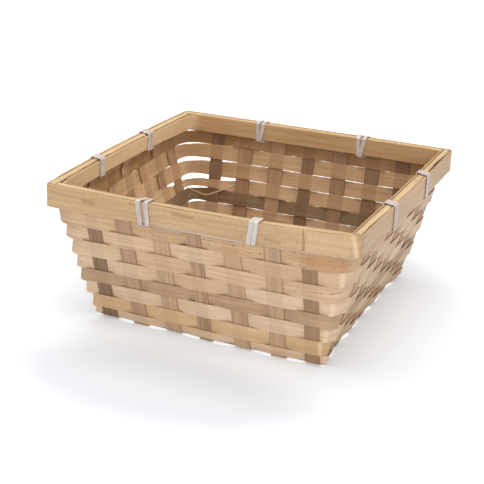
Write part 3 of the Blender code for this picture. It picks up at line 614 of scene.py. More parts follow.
# Handling dirt and old stains: soft patches in the basket's own space
def oldSoilGroup():
    group, start, end = newGroup("oldSoil", {"Position": None, "Size": 0.035, "Amount": 0.3}, ("Mask",))
    scaled = scaledVector(group, start["Position"], maths(group, "DIVIDE", 1.0, start["Size"]))
    patches = stepBetween(group, noise(group, scaled, 4.0, 0.62), 0.46, 0.74)
    feed(group, end["Mask"], maths(group, "MULTIPLY", patches, start["Amount"], clamp=True))
    return group


# Fine scuffs that run askew over the fibres
def fineScuffsGroup():
    group, start, end = newGroup("fineScuffs", {"Place": None}, ("Mask",))
    along, across, _ = parted(group, start["Place"])
    cells = inCells(group, maths(group, "ADD", along, across), maths(group, "SUBTRACT", across, along),
                    0.0085, 0.0011, 17.0)
    feed(group, end["Mask"], stepBetween(group, noise(group, cells, 2.0), 0.45, 0.68))
    return group


# One stroke: 1 within a width of the line between two places and 0 beyond its soft edge
def strokeMarkGroup():
    group, start, end = newGroup(
        "strokeMark",
        {"Position": None, "Start": None, "End": None, "Width": 0.001, "Softness": 0.0005}, ("Mask",))
    line = vectors(group, "SUBTRACT", start["End"], start["Start"])
    here = vectors(group, "SUBTRACT", start["Position"], start["Start"])
    length = vectors(group, "DOT_PRODUCT", line, line, "Value")
    share = maths(group, "DIVIDE", vectors(group, "DOT_PRODUCT", here, line, "Value"), length, clamp=True)
    distance = vectors(group, "DISTANCE", here, scaledVector(group, line, share), "Value")
    low = maths(group, "SUBTRACT", start["Width"], start["Softness"])
    high = maths(group, "ADD", start["Width"], start["Softness"])
    feed(group, end["Mask"], fallBetween(group, distance, low, high))
    return group


grainGroup = bambooGrainGroup()
scuffsGroup = fineScuffsGroup()
strokeGroup = strokeMarkGroup()
wearAndShadeGroup = edgeWearAndShadeGroup()
specksGroup = darkSpecksGroup()
soilGroup = oldSoilGroup()


def srgb(colour):
    channel = np.array(colour) / 255
    linear = np.where(channel <= 0.04045, channel / 12.92, ((channel + 0.055) / 1.055) ** 2.4)
    return (*(float(value) for value in linear), 1.0)


# A bamboo finish. The base colour is laid on in layers: streaks, fibres, blotches and lines, tone by strip,
# worn edges (on the fillers a painted shade along the seams), soil and painted shade, specks, scuffs and
# strokes (some painted highlights and shadows), and on the inner face a painted shade over them all
def bambooMaterial(name, look):
    material = bpy.data.materials.new(name)
    material.use_nodes = True
    tree = material.node_tree
    place = addNode(tree, "ShaderNodeAttribute", attribute_name="stripPlace").outputs["Vector"]
    looks = addNode(tree, "ShaderNodeAttribute", attribute_name="stripLook").outputs["Vector"]
    edge, tone, soilAndShade = parted(tree, looks)
    position = addNode(tree, "ShaderNodeTexCoord").outputs["Object"]

    def effect(group, inputs):
        return addNode(tree, "ShaderNodeGroup", inputs, node_tree=group).outputs

    def part(mask, share, clamp=False):
        return maths(tree, "MULTIPLY", mask, share, clamp=clamp)

    fibre, streak, blotch, line = effect(
        grainGroup, {"Place": place, "Fibre Width": look["fibre"], "Streak Width": look["streak"]})
    wearAndSeamShade = effect(wearAndShadeGroup, {
        "Place": place, "Edge": edge, "Amount": look["wearAndSeamShade"], "Width": look["wearAndSeamShadeWidth"]})[0]
    specks = effect(specksGroup, {"Place": place, "Amount": look["specks"]})[0]
    dirtAndShade = effect(soilGroup, {"Position": position, "Amount": look["soilAndShade"]})[0]
    scuffs = effect(scuffsGroup, {"Place": place})[0]
    inside = maths(tree, "LESS_THAN", parted(tree, place)[2], 0.0)
    speckShare = maths(
        tree, "MULTIPLY_ADD", inside, look["insideSpecks"] * look["speckShare"], look["speckShare"])
    layers = [
        (part(fibre, look["fibreShare"]), look["fibreColour"]),
        (part(blotch, look["blotchShare"]), look["blotch"]),
        (part(line, look["lineShare"]), look["line"]),
        (part(tone, 1.0, clamp=True), look["deep"]),
        (part(tone, -1.0, clamp=True), look["pale"]),
        (wearAndSeamShade, look["edge"]),
        # old soil patches and the strips' painted shade, laid on in one colour
        (maths(tree, "ADD", dirtAndShade, soilAndShade, clamp=True), look["dirtAndShade"]),
        (part(specks, speckShare), look["speck"]),
        (part(scuffs, look["scuffShare"]), look["deep"]),
    ]
    for start, end, width, softness, colour, share in look["marks"]:
        stroke = effect(strokeGroup, {"Position": position, "Start": start, "End": end, "Width": width,
                                      "Softness": softness})[0]
        layers.append((part(stroke, share), colour))
    colour = mixColour(tree, streak, srgb(look["dark"]), srgb(look["light"]))
    for mask, over in layers:
        colour = mixColour(tree, mask, colour, srgb(over))
    # on the inner face, a painted shade multiplied over them all
    colour = mixColour(tree, part(inside, look["insideShadeShare"]), colour, srgb(look["inside"]), "MULTIPLY")

    roughness = maths(tree, "ADD", look["roughness"], part(fibre, look["fibreRoughness"]))
    lift = maths(tree, "ADD", part(fibre, 0.6), part(streak, 0.4))
    bump = {"Strength": look["bump"], "Distance": look["bumpDepth"], "Height": lift}
    shader = tree.nodes["Principled BSDF"]
    feed(tree, shader.inputs["Base Color"], colour)
    feed(tree, shader.inputs["Roughness"], maths(tree, "ADD", roughness, part(wearAndSeamShade, look["wearRoughness"])))
    feed(tree, shader.inputs["Normal"], addNode(tree, "ShaderNodeBump", bump).outputs["Normal"])
    shader.inputs["Specular IOR Level"].default_value = look["specular"]
    return material


# Strokes on the strips: from, to, width, softness, colour and strength. Some are painted highlights, shadows
# and shade, as marked
# painted shade in the notch at the top of the lap's end
notchShadeMarks = [((0.0885, -0.1388, 0.1325), (0.0925, -0.1392, 0.1325), 0.0011, 0.0003, (56, 40, 28), 0.9)]
rimMarksAndPaintedLight = notchShadeMarks + [
    ((-0.1045, -0.1400, 0.1217), (-0.0950, -0.1400, 0.1209), 0.0019, 0.0006, (150, 114, 76), 0.55),
    ((-0.0605, -0.1400, 0.1267), (-0.0540, -0.1400, 0.1263), 0.0012, 0.0007, (146, 112, 74), 0.5),
    ((-0.0215, -0.1400, 0.1247), (-0.0035, -0.1400, 0.1241), 0.0015, 0.0008, (148, 114, 74), 0.55),
    ((0.0605, -0.1400, 0.1175), (0.0730, -0.1400, 0.1167), 0.0017, 0.0008, (156, 126, 80), 0.55),
    ((0.0879, -0.1400, 0.1202), (0.0881, -0.1400, 0.1202), 0.0005, 0.0003, (92, 62, 42), 0.8),
    ((0.0354, -0.1400, 0.1217), (0.0356, -0.1400, 0.1217), 0.0004, 0.0003, (110, 78, 54), 0.7),
    ((0.0400, -0.1400, 0.1160), (0.0403, -0.1400, 0.1160), 0.0005, 0.0003, (96, 66, 44), 0.8),
    ((-0.0397, -0.1400, 0.1184), (-0.0395, -0.1400, 0.1184), 0.0004, 0.0003, (110, 78, 54), 0.7),
    # painted shadow along the lap's end
    ((0.0925, -0.1400, 0.1325), (0.0933, -0.1400, 0.1140), 0.00034, 0.0002, (92, 62, 38), 0.9),
    # painted highlight on the lap's end edge
    ((0.0940, -0.1400, 0.1325), (0.0948, -0.1400, 0.1140), 0.0005, 0.0003, (236, 208, 170), 0.45),
    # painted highlight down the rim's front right corner
    ((0.1338, -0.1381, 0.1325), (0.1368, -0.1356, 0.1150), 0.0018, 0.0018, (240, 214, 180), 0.5),
]
# painted highlight along the seventh row's fold at the front right corner
foldHighlights = [((0.1038, -0.1153, 0.0252), (0.1038, -0.1142, 0.0145), 0.0018, 0.0018, (236, 208, 164), 0.5)]
weaverMarksAndHighlights = [
    ((0.0740, -0.1262, 0.0724), (0.0880, -0.1271, 0.0732), 0.0002, 0.0002, (150, 112, 78), 0.6),
    ((0.0880, -0.1271, 0.0732), (0.1052, -0.1271, 0.0738), 0.0003, 0.0002, (128, 94, 62), 0.7),
    ((0.1052, -0.1271, 0.0738), (0.1153, -0.1246, 0.0744), 0.0004, 0.0003, (112, 80, 52), 0.75),
    ((0.1153, -0.1246, 0.0744), (0.1206, -0.1200, 0.0752), 0.0004, 0.0003, (112, 80, 52), 0.75),
    ((0.1206, -0.1200, 0.0752), (0.1250, -0.1108, 0.0764), 0.0003, 0.0003, (128, 94, 62), 0.7),
    ((0.0400, -0.1153, 0.0285), (0.0472, -0.1158, 0.0316), 0.0002, 0.0002, (168, 130, 94), 0.6),
    ((0.0472, -0.1158, 0.0316), (0.0597, -0.1183, 0.0376), 0.0002, 0.0002, (168, 130, 94), 0.6),
    ((-0.1140, -0.1243, 0.0620), (-0.1187, -0.1192, 0.0552), 0.0007, 0.0004, (196, 92, 84), 0.7),
    # painted highlights along the folds of the second, fourth and sixth rows at the front right corner
    ((0.1225, -0.1238, 0.0924), (0.1222, -0.1225, 0.0805), 0.0024, 0.0024, (242, 218, 182), 0.55),
    ((0.1142, -0.1190, 0.0630), (0.1138, -0.1172, 0.0515), 0.0020, 0.0020, (244, 218, 180), 0.5),
    ((0.1081, -0.1142, 0.0350), (0.1081, -0.1137, 0.0260), 0.0018, 0.0018, (242, 216, 178), 0.45),
]
topRowMarks = [
    ((0.1000, -0.1360, 0.1040), (0.1230, -0.1280, 0.1030), 0.0080, 0.0060, (180, 126, 76), 0.55),
    ((0.0200, -0.1360, 0.1000), (0.0420, -0.1360, 0.1010), 0.0040, 0.0050, (204, 148, 100), 0.28),
]
# reddish specks on the top row
speckPlaces = ((0.0028, -0.1325, 0.1010), (0.0077, -0.1330, 0.1013), (0.0042, -0.1335, 0.1046),
               (0.0308, -0.1357, 0.1048), (0.0399, -0.1358, 0.1063), (0.0448, -0.1336, 0.1003),
               (0.0534, -0.1327, 0.1012), (0.0886, -0.1335, 0.0985), (0.0920, -0.1331, 0.0968),
               (0.0875, -0.1353, 0.1046), (0.0959, -0.1357, 0.1056), (0.1140, -0.1336, 0.1059),
               (0.1170, -0.1315, 0.1000), (0.1232, -0.1280, 0.1048), (0.1236, -0.1270, 0.1007),
               (0.1280, -0.1218, 0.1017), (-0.0146, -0.1308, 0.0981))
topRowMarks += [((x, y, z), (x + 0.0009, y, z), 0.00042, 0.0003, (104, 60, 38), 0.8)
                for x, y, z in speckPlaces]
# inside: the colour of a painted shade multiplied over the inner faces, by its share
weaverLook = {
    "line": (158, 118, 84), "lineShare": 0.30, "inside": (234, 224, 206), "insideShadeShare": 1.0,
    "scuffShare": 0.10, "wearAndSeamShadeWidth": 0.14, "marks": weaverMarksAndHighlights,
    "dark": (205, 172, 138), "light": (224, 195, 163), "fibreColour": (196, 160, 124), "fibreShare": 0.35,
    "blotch": (212, 178, 142), "blotchShare": 0.35, "deep": (176, 138, 100), "pale": (236, 214, 188),
    "edge": (190, 152, 112), "dirtAndShade": (150, 116, 84), "fibre": 0.0007, "streak": 0.0030,
    "wearAndSeamShade": 0.45, "specks": 0.05, "speckShare": 0.5, "insideSpecks": -0.7, "speck": (86, 56, 38),
    "soilAndShade": 0.10, "bump": 0.35, "bumpDepth": 0.00025, "specular": 0.45,
    "roughness": 0.48, "fibreRoughness": 0.14, "wearRoughness": 0.12,
}
stakeLook = dict(weaverLook, dark=(172, 138, 106), light=(202, 168, 132), fibreColour=(156, 122, 90),
                 fibreShare=0.4, blotch=(180, 144, 108), deep=(140, 108, 80), pale=(214, 184, 148),
                 edge=(146, 112, 80), dirtAndShade=(122, 94, 68), soilAndShade=0.20, roughness=0.52, bump=0.5,
                 line=(116, 88, 64), lineShare=0.42, inside=(240, 228, 216), marks=())
darkStakeLook = dict(stakeLook, dark=(118, 89, 64), light=(148, 117, 88), fibreColour=(104, 78, 56),
                     line=(72, 52, 38), lineShare=0.6)
speckledLook = dict(weaverLook, dark=(186, 150, 110), light=(212, 180, 140), deep=(160, 122, 84),
                    specks=0.70, speckShare=0.9, inside=(204, 184, 156), marks=topRowMarks)
brownLook = dict(weaverLook, dark=(172, 138, 104), light=(196, 164, 130), fibreColour=(158, 124, 92),
                 deep=(140, 108, 78), pale=(212, 184, 150), line=(122, 90, 62), inside=(184, 178, 164),
                 marks=())
yellowLook = dict(weaverLook, dark=(204, 168, 122), light=(220, 187, 142), fibreColour=(190, 152, 104),
                  deep=(176, 138, 88), marks=foldHighlights)
rimLook = dict(weaverLook, dark=(186, 151, 109), light=(205, 174, 135), fibreColour=(175, 139, 98),
               blotch=(198, 163, 121), deep=(160, 124, 87), pale=(220, 195, 160), edge=(200, 158, 108),
               streak=0.0036, roughness=0.40, soilAndShade=0.10, lineShare=0.20, inside=(255, 250, 240),
               scuffShare=0.28, marks=rimMarksAndPaintedLight)
# the fillers' worn edges are a painted shade: a dark line along the seams beside the bands
fillerLook = dict(weaverLook, dark=(188, 160, 114), light=(208, 182, 138), fibreColour=(168, 136, 94),
                  fibreShare=0.5, deep=(170, 138, 96), bump=0.7, insideShadeShare=0.0, edge=(88, 62, 38), wearAndSeamShade=1.0,
                  wearAndSeamShadeWidth=0.20, marks=notchShadeMarks)
caneLook = dict(weaverLook, dark=(190, 180, 174), light=(212, 204, 199), fibreColour=(166, 154, 146),
                fibreShare=0.4, blotch=(196, 185, 178), deep=(166, 152, 140), pale=(226, 220, 216),
                edge=(164, 148, 136), dirtAndShade=(148, 134, 122), fibre=0.0005, streak=0.0012, soilAndShade=0.12,
                roughness=0.5, insideShadeShare=0.0, lineShare=0.30, marks=())

materials = {
    "stake_bamboo": bambooMaterial("stakeBamboo", stakeLook),
    "dark_stake_bamboo": bambooMaterial("darkStakeBamboo", darkStakeLook),
    "weaver_bamboo": bambooMaterial("weaverBamboo", weaverLook),
    "speckled_weaver_bamboo": bambooMaterial("speckledWeaverBamboo", speckledLook),
    "brown_weaver_bamboo": bambooMaterial("brownWeaverBamboo", brownLook),
    "yellow_weaver_bamboo": bambooMaterial("yellowWeaverBamboo", yellowLook),
    "rim_bamboo": bambooMaterial("rimBamboo", rimLook),
    "filler_bamboo": bambooMaterial("fillerBamboo", fillerLook),
    "binding_cane": bambooMaterial("bindingCane", caneLook),
}
print("materials made:", len(materials))

stripOutline = sectionOutline(12, 2)


def sideStakes(side, level):
    foot, widths = (footPlaces, stakeWidths) if side % 2 == 0 else (sideFootPlaces, sideStakeWidths)
    top = (frontPlaces, rightPlaces, backPlaces, leftPlaces)[side]
    places = foot + (top - foot) * level / stakeTop
    numbers = np.arange(1, stakeCount + 1)
    if side >= 2:
        return -places[::-1], widths[::-1], numbers[::-1]
    return places, widths, numbers


# the two gaps between stakes that the ties of a side go through
def tieWindows(side):
    places, widths, _ = sideStakes(side, bandBottom)
    for number in (1, stakeCount - 3):
        yield places[number] + widths[number] / 2, places[number + 1] - widths[number + 1] / 2


# middle of a tie's second strand and of the first one inside, kept within the window
def tiePlaces(window, placeShare):
    left, right = window
    width, clearance = caneShape["width"], caneShape["clearance"]
    room = (right - left) / 2 - width - clearance - seat
    second = (left + right) / 2 + (width + clearance) / 2 + room * placeShare
    return second, second - width - clearance


# Stakes. In the plane of the strip: down one wall, round the bend, through the base over and under
# the crossing strips, round and up the other wall.
def footBend(level):
    turn = quarter - math.atan(wallSlope)
    begin = wallLane(level) - stakeShape["bendRadius"] * math.tan(turn / 2)
    angle = turn * np.linspace(0, 1, stakeShape["bendSteps"])
    return np.stack((begin + stakeShape["bendRadius"] * np.sin(angle),
                     level + stakeShape["bendRadius"] * (1 - np.cos(angle))), axis=1)


def stakeLine(crossedPlaces, crossedWidths, over):
    levels = np.where(over, highLevel, lowLevel)
    reach = crossedWidths / 2 + basket["margin"]
    knots = np.stack((crossedPlaces - reach, crossedPlaces + reach), axis=1).ravel()
    run = np.arange(knots[1], knots[-2], stakeShape["baseStep"])
    base = np.stack((run, easedLine(run, knots, np.repeat(levels, 2))), axis=1)
    wall = np.array([(rimLane, stakeTop), (rimLane, bandBottom + stakeShape["tuckRise"]),
                     (rimLane - stakeShape["tuckShift"], bandBottom)])
    first, last = footBend(levels[0]), footBend(levels[-1])
    climb = np.linspace(0, 1, stakeShape["climbSteps"])[1:-1, None]
    firstWall = first[-1] + (wall[-1] - first[-1]) * climb
    lastWall = last[-1] + (wall[-1] - last[-1]) * climb
    left = np.concatenate((wall, firstWall[::-1], first[::-1])) * (-1, 1)
    right = np.concatenate((last, lastWall, wall[::-1]))
    return np.concatenate((left, base, right))


# the strip is made along Y; one along X is the same with x and y exchanged
def addStake(node, line, width, foot, tops, alongX, look, slotName):
    place, (run, level) = evenly(lengthAlong(line), line.T, basket["step"])
    way = unit(np.stack((np.gradient(run), np.gradient(level)), axis=1))
    rise = np.where(np.abs(run) > wallLane(0) - stakeShape["width"], np.maximum(level, 0) / stakeTop, 0)
    sideways = foot + (np.where(run < 0, *tops) - foot) * rise
    sideways = sideways + stakeShape["sideWave"] * drift(place, stakeShape["sideSpacing"], look["seed"] + 3)
    middle = np.stack((sideways, run, level), axis=1)
    across = np.tile((1.0, 0.0, 0.0), (len(run), 1))
    through = np.stack((np.zeros_like(run), way[:, 1], -way[:, 0]), axis=1)
    if alongX:
        middle, across, through = (rows[:, (1, 0, 2)] for rows in (middle, across, through))
    # painted shade on the stake's part on the back wall and in the middle of the base
    onBack = smooth((run - stakeShape["backShadePlace"]) / stakeShape["backShadeWidth"])
    onBase = 1 - smooth((np.abs(run) - stakeShape["baseShadePlace"]) / stakeShape["baseShadeWidth"])
    strip = {
        "middle": middle, "across": across, "through": through,
        "thick": np.full(len(run), stakeShape["thickness"]),
        "soilAndShade": look["backShade"] * onBack + stakeShape["baseShade"] * onBase,
        **wandering(place, width / 2, stakeShape, look),
    }
    addStrip(node, strip, stripOutline, slotName, look)


stakeTones = (0.1, 0.0, -0.2, 0.15, -0.15, -0.2, 0.75)
backShades = (0.0, 0.15, 0.15, 0.75, 0.45, 0.70, 0.70)        # painted shade on the back wall's part of each
sideStakeTones = (-0.2, 0.0, -0.15, 0.1, -0.1, 0.15, -0.05)
numbers = np.arange(stakeCount)
for number in range(stakeCount):
    addStake(f"stake_front_back_{number + 1}",
             stakeLine(sideFootPlaces, sideStakeWidths, (numbers + number) % 2 == 0),
             stakeWidths[number], footPlaces[number], (frontPlaces[number], backPlaces[number]), False,
             {"seed": 11 + number, "ribs": stakeShape["ribs"], "tone": stakeTones[number],
              "backShade": backShades[number]}, "dark_stake_bamboo" if number == 0 else "stake_bamboo")
for number in range(stakeCount):
    addStake(f"stake_left_right_{number + 1}",
             stakeLine(footPlaces, stakeWidths, (numbers + number) % 2 == 1),
             sideStakeWidths[number], sideFootPlaces[number], (leftPlaces[number], rightPlaces[number]), True,
             {"seed": 31 + number, "ribs": stakeShape["ribs"], "tone": sideStakeTones[number],
              "backShade": 0.0}, "stake_bamboo")
print("stakes made:", 2 * stakeCount)


# 1 at the back left corner, falling to 0 at a joint's reach from it
def nearBackLeft(joint, x, y):
    fromCorner = np.hypot(np.maximum(x + cornerGapPlace, 0), np.maximum(cornerGapPlace - y, 0))
    reach = cornerGapReaches[joint]
    return 1 - smooth((fromCorner - reach * cornerGapFlatShare) / (reach * (1 - cornerGapFlatShare)))


# gap = front, side or back gap by place + the corner's gap, fading with the distance from that corner
def rowGap(joint, x, y):
    gap, shape = weaverShape["frontGap"], weaverShape
    far = smooth(y / shape["backFade"])
    gap = gap + (shape["backGap"] * backGapShares[joint] - gap) * far
    left = (smooth((-x - shape["leftEdge"]) / shape["leftFade"])
            * smooth((y + shape["middleEdge"]) / shape["middleFade"]))
    gap = gap + (shape["sideGap"] - gap) * left * (1 - far)
    return gap + cornerGaps[joint] * nearBackLeft(joint, x, y)


# 1 away from the ties and 0 where their strands pass over the top row
def awayFromTies(x, y):
    away = np.ones_like(x)
    half = caneShape["width"] / 2 + weaverShape["tieMargin"]
    for side in sides:
        cosine, sine = round(math.cos(side * quarter)), round(math.sin(side * quarter))
        along, out = x * cosine + y * sine, x * sine - y * cosine
        for number, window in enumerate(tieWindows(side)):
            second, innerFirst = tiePlaces(window, tiePlaceShares[side * 2 + number])
            beyond = np.maximum(innerFirst - half - along, along - second - half)
            near = np.minimum(away, smooth(beyond / weaverShape["tieFade"]))
            away = np.where(out > weaverShape["wallEdge"], near, away)
    return away


# Rows. Lower and upper edge of a row over places in plan, before the rim is sloped; joints end up level
def rowEdges(row, x, y):
    if row == 0:
        return np.full_like(x, hiddenBottom), np.full_like(x, hiddenTop)
    level = bandBottom ** 2 / (bandBottom + rimRise(x, y))
    place = rowCount - row
    lower = np.full_like(x, rowsBottom)
    if place > 0:
        shift = cornerShifts[place - 1] * nearBackLeft(place - 1, x, y)
        lower = rowJointShares[place - 1] * level + shift + rowGap(place - 1, x, y) / 2
    rise = weaverShape["topRise"] - weaverShape["tieRise"]
    upper = np.full_like(x, rowsTop) + weaverShape["tieRise"] + rise * awayFromTies(x, y)
    if place < rowCount - 1:
        shift = cornerShifts[place] * nearBackLeft(place, x, y)
        upper = rowJointShares[place] * level + shift - rowGap(place, x, y) / 2
    return lower, upper


def rowLane(row, side, along, middleLane):
    x, y = sidePoints(side, along, np.full_like(along, middleLane))
    return np.full_like(along, rimLane) if row == 0 else wallLane(sum(rowEdges(row, x, y)) / 2)


facing = (1, 1, -1, -1)          # side of each wall that faces the front right: 1 its outside


# where a row crosses a side's stakes: their middles and reaches, and the row's offset at each
def rowCrossings(row, side, middleLane, spread):
    x, y = sidePoints(side, np.zeros(1), np.full(1, middleLane))
    places, widths, numbers = sideStakes(side, float(sum(rowEdges(row, x, y))[0] / 2))
    return places, widths / 2 + basket["margin"], np.where((row + numbers + side) % 2 == 0, spread, -spread)


# A wall's part of the plan line: smooth steps from outside one stake to inside the next, swelling
# at each. Columns: x, y, corner, side, apart, ghost and lift; also the places and knots along the wall
def wallStretch(row, side, crossings, middleLane, spread):
    places, reach, offsets = crossings
    knots = np.stack((places - reach, places + reach), axis=1).ravel()
    along = np.arange(knots[0], knots[-1], weaverShape["planStep"])
    offset = easedLine(along, knots, np.repeat(offsets, 2))
    index = np.clip(np.searchsorted(knots, along, side="right") - 1, 0, len(knots) - 2)
    share = (along - knots[index]) / (knots[index + 1] - knots[index])
    bulge = np.where(index % 2 == 0, np.sin(math.pi * share) ** 2, 0) * weaverShape["bulge"]
    offset = offset + bulge * np.sign(offset)
    x, y = sidePoints(side, along, rowLane(row, side, along, middleLane) + offset)
    beyond = np.min(np.abs(along[:, None] - places) - (reach - basket["margin"]), axis=1)
    softness = weaverShape["ghostSoftness"]
    ghost = 1 - smooth((beyond + softness) / (2 * softness))
    zero = np.zeros_like(x)
    rows = (x, y, zero, zero + side, np.abs(offset) / spread, ghost, offset / spread * facing[side])
    return np.stack(rows, axis=1), along, knots


# A corner's part: a Bezier curve whose handles lie along both walls, or a fold set in from their crossing
def cornerStretch(row, side, here, after, middleLane, spread):
    (places, reach, offsets), (nextPlaces, nextReach, nextOffsets) = here, after
    turning = (side + 1) % 4
    corner = float(rowLane(row, side, np.array([middleLane]), middleLane)[0])
    start = np.array((places[-1] + reach[-1], corner + offsets[-1]))
    stop = np.array((corner + nextOffsets[0], nextReach[0] - nextPlaces[0]))
    fullness = (frontLeftFullnessShares[row], frontRightFullnessShares[row],
                *(backFullnessShares if row else (1.0, 1.0)))[turning]
    swell = frontLeftSwells[row] if turning == 0 else 0.0
    first = np.array((start[0] + (stop[0] - start[0]) * fullness, start[1] + swell))
    second = np.array((stop[0] + swell, stop[1] + (start[1] - stop[1]) * fullness))
    if turning == 1 and row in frontRightFolds:
        first = np.array((corner - frontRightFolds[row] + foldShift, start[1]))
        second = first + (stop - first) * foldTurnShare
    share = np.linspace(0, 1, weaverShape["cornerSteps"] + 1)[1:-1, None]
    rest = 1 - share
    ends = np.array((offsets[-1] * facing[side], nextOffsets[0] * facing[turning])) / spread
    lift = ends[0] + (ends[1] - ends[0]) * smooth(share[:, 0])
    curve = (rest ** 3 * start + 3 * rest ** 2 * share * first + 3 * rest * share ** 2 * second
             + share ** 3 * stop)
    way = rest ** 2 * (first - start) + 2 * rest * share * (second - first) + share ** 2 * (stop - second)
    x, y = sidePoints(side, curve[:, 0], curve[:, 1])
    turn = np.sin(2 * np.arctan2(-way[:, 1], way[:, 0]))
    zero = np.zeros_like(x)
    return np.stack((x, y, turn, zero + side, np.abs(1 - 2 * share[:, 0]), zero, lift), axis=1)


# A row's plan line, wall by wall and corner by corner. It starts and ends lapped on a stake near the
# front wall's middle; lap rises from 0 to 1 where the end passes inside the start
def rowPlan(row):
    spread = weaveOffset * math.hypot(1, 0 if row == 0 else wallSlope)
    nowhere = np.zeros(1)
    middleLane = rimLane if row == 0 else wallLane(float(sum(rowEdges(row, nowhere, nowhere))[0] / 2))
    crossings = [rowCrossings(row, side, middleLane, spread) for side in sides]
    walls = [wallStretch(row, side, crossings[side], middleLane, spread) for side in sides]
    plan = np.concatenate([rows for side in sides for rows in (
        walls[side][0],
        cornerStretch(row, side, crossings[side], crossings[(side + 1) % 4], middleLane, spread))])
    number = (stakeCount + 1) // 2
    number += (row + number + 1) % 2
    _, along, knots = walls[0]
    ramp, start, stop = (int(np.searchsorted(along, knots[k])) for k in range(2 * number - 3, 2 * number))
    turned = np.concatenate((plan[start:], plan[:stop]))
    lap = smooth((np.arange(len(turned)) - (len(plan) - start + ramp)) / max(start - ramp, 1))
    return turned, lap


def addWeaver(row, look, slotName):
    plan, lap = rowPlan(row)
    length = lengthAlong(plan[:, :2])
    place, (x, y, corner, side, apart, ghost, lifted, lapped) = evenly(length, [*plan.T, lap], basket["step"])
    shape, hidden = weaverShape, row == 0
    outward = outwardAlong(x, y)
    lower, upper = rowEdges(row, x, y)
    leans = [cornerLeanShares[(s + 1) % 4] for s in sides]
    leans[3] = topRowLeanShare if row == 1 else leans[3]
    leanAt = np.array(leans)[np.clip(np.round(side).astype(int), 0, 3)]
    lean = np.zeros_like(x) if hidden else wallSlope + (leanAt - wallSlope) * np.clip(corner, 0, 1)
    across = unit(outward * lean[:, None] + (0, 0, 1))
    through = unit(outward - np.stack((np.zeros_like(x), np.zeros_like(x), lean), axis=1))
    middle = np.stack((x, y, (lower + upper) / 2), axis=1)
    middle = middle - through * (lapped * (shape["thickness"] + basket["crossing"]))[:, None]
    liftShare = 0.0 if hidden else shape["lowestLiftShare"] if row == rowCount else 1.0
    middle[:, 2] += lifted * np.interp(y, shape["places"], shape["lifts"]) * liftShare
    halfWidth = (upper - lower) / (2 * (1 if hidden else wallCosine))
    reach = np.interp(y, shape["places"], shape["reaches"]) + shape["lapReach"] * lapped
    later = (y < -shape["frontEdge"]) | (x > shape["rightEdge"])
    begin = np.where(later, shape["reachStartShare"], 0.0)
    reach = reach * smooth((apart - begin) / (shape["reachFullShare"] - begin)) * (0 if hidden else 1)
    strip = {
        "middle": middle, "across": across, "through": through,
        # painted shade where the row lies on a stake
        "thick": np.full(len(x), shape["thickness"]), "soilAndShade": shape["ghost"] * ghost,
        **wandering(place, halfWidth, shape, look, shape["hiddenWaveShare"] if hidden else 1),
    }
    strip["lower"] = strip["lower"] + (reach if row < rowCount else 0)
    strip["upper"] = strip["upper"] + (reach if row > 1 else 0)
    addStrip("weaver_under_rim" if hidden else f"weaver_row_{row}", strip, stripOutline, slotName, look)


rowSlots = {1: "speckled_weaver_bamboo", 5: "brown_weaver_bamboo", 7: "yellow_weaver_bamboo"}
rowTones = (0.2, 0.1, 0.12, 0.05, -0.05, 0.05, -0.22, 0.1, -0.05)
for row in range(rowCount + 1):
    addWeaver(row, {"seed": 61 + 3 * row, "cup": weaverShape["cup"], "ribs": weaverShape["ribs"],
                    "tone": rowTones[row]}, rowSlots.get(row, "weaver_bamboo"))
print("weavers made:", rowCount + 1)


# A splinter of the fourth row stands off inside the back left corner: two straight runs with a bend, as
# a weighted curve: ((1-t)^2 first + 2 w t (1-t) bend + t^2 last) / ((1-t)^2 + 2 w t (1-t) + t^2)
splinter = {
    "first": (-0.1236, 0.1010, 0.0600), "bend": (-0.1020, 0.1080, 0.0488), "last": (-0.0770, 0.1236, 0.0602),
    "weight": 7.0, "width": 0.0016, "thickness": 0.0005, "thinShare": 0.25, "thinSpacing": 0.012,
    "curveSteps": 400, "step": 0.0006,
}


def addSplinter(values, look):
    t = np.linspace(0, 1, values["curveSteps"])[:, None]
    shares = (1 - t) ** 2, 2 * values["weight"] * t * (1 - t), t ** 2
    points = [np.array(values[key]) for key in ("first", "bend", "last")]
    curve = sum(share * point for share, point in zip(shares, points)) / sum(shares)
    place, columns = evenly(lengthAlong(curve), curve.T, values["step"])
    middle = np.stack(columns, axis=1)
    way = unit(np.gradient(middle, axis=0))
    through = unit(np.cross(way, (0.0, 0.0, 1.0)))
    thin = values["thinShare"]
    half = values["width"] / 2 * (1 - thin + thin * drift(place, values["thinSpacing"], look["seed"]))
    strip = {"middle": middle, "across": np.cross(through, way), "through": through, "place": place,
             "lower": half, "upper": half, "thick": np.full(len(place), values["thickness"]),
             "tone": np.full(len(place), look["tone"])}
    addStrip("weaver_row_4", strip, stripOutline, "weaver_bamboo", look, "_splinter")


addSplinter(splinter, {"seed": 95, "tone": -0.2})


# Rim bands. The outline in plan is straight walls and round corners; the thin lapped ends pass on the front
def bandPlan(half, radii):
    parts = []
    angle = np.linspace(0, quarter, bandShape["cornerSteps"])
    for side in sides:
        radius = radii[(side + 1) % 4]
        x, y = sidePoints(side, half - radius * (1 - np.sin(angle)), half - radius * (1 - np.cos(angle)))
        parts.append(np.stack((x, y), axis=1))
    return np.concatenate(parts)


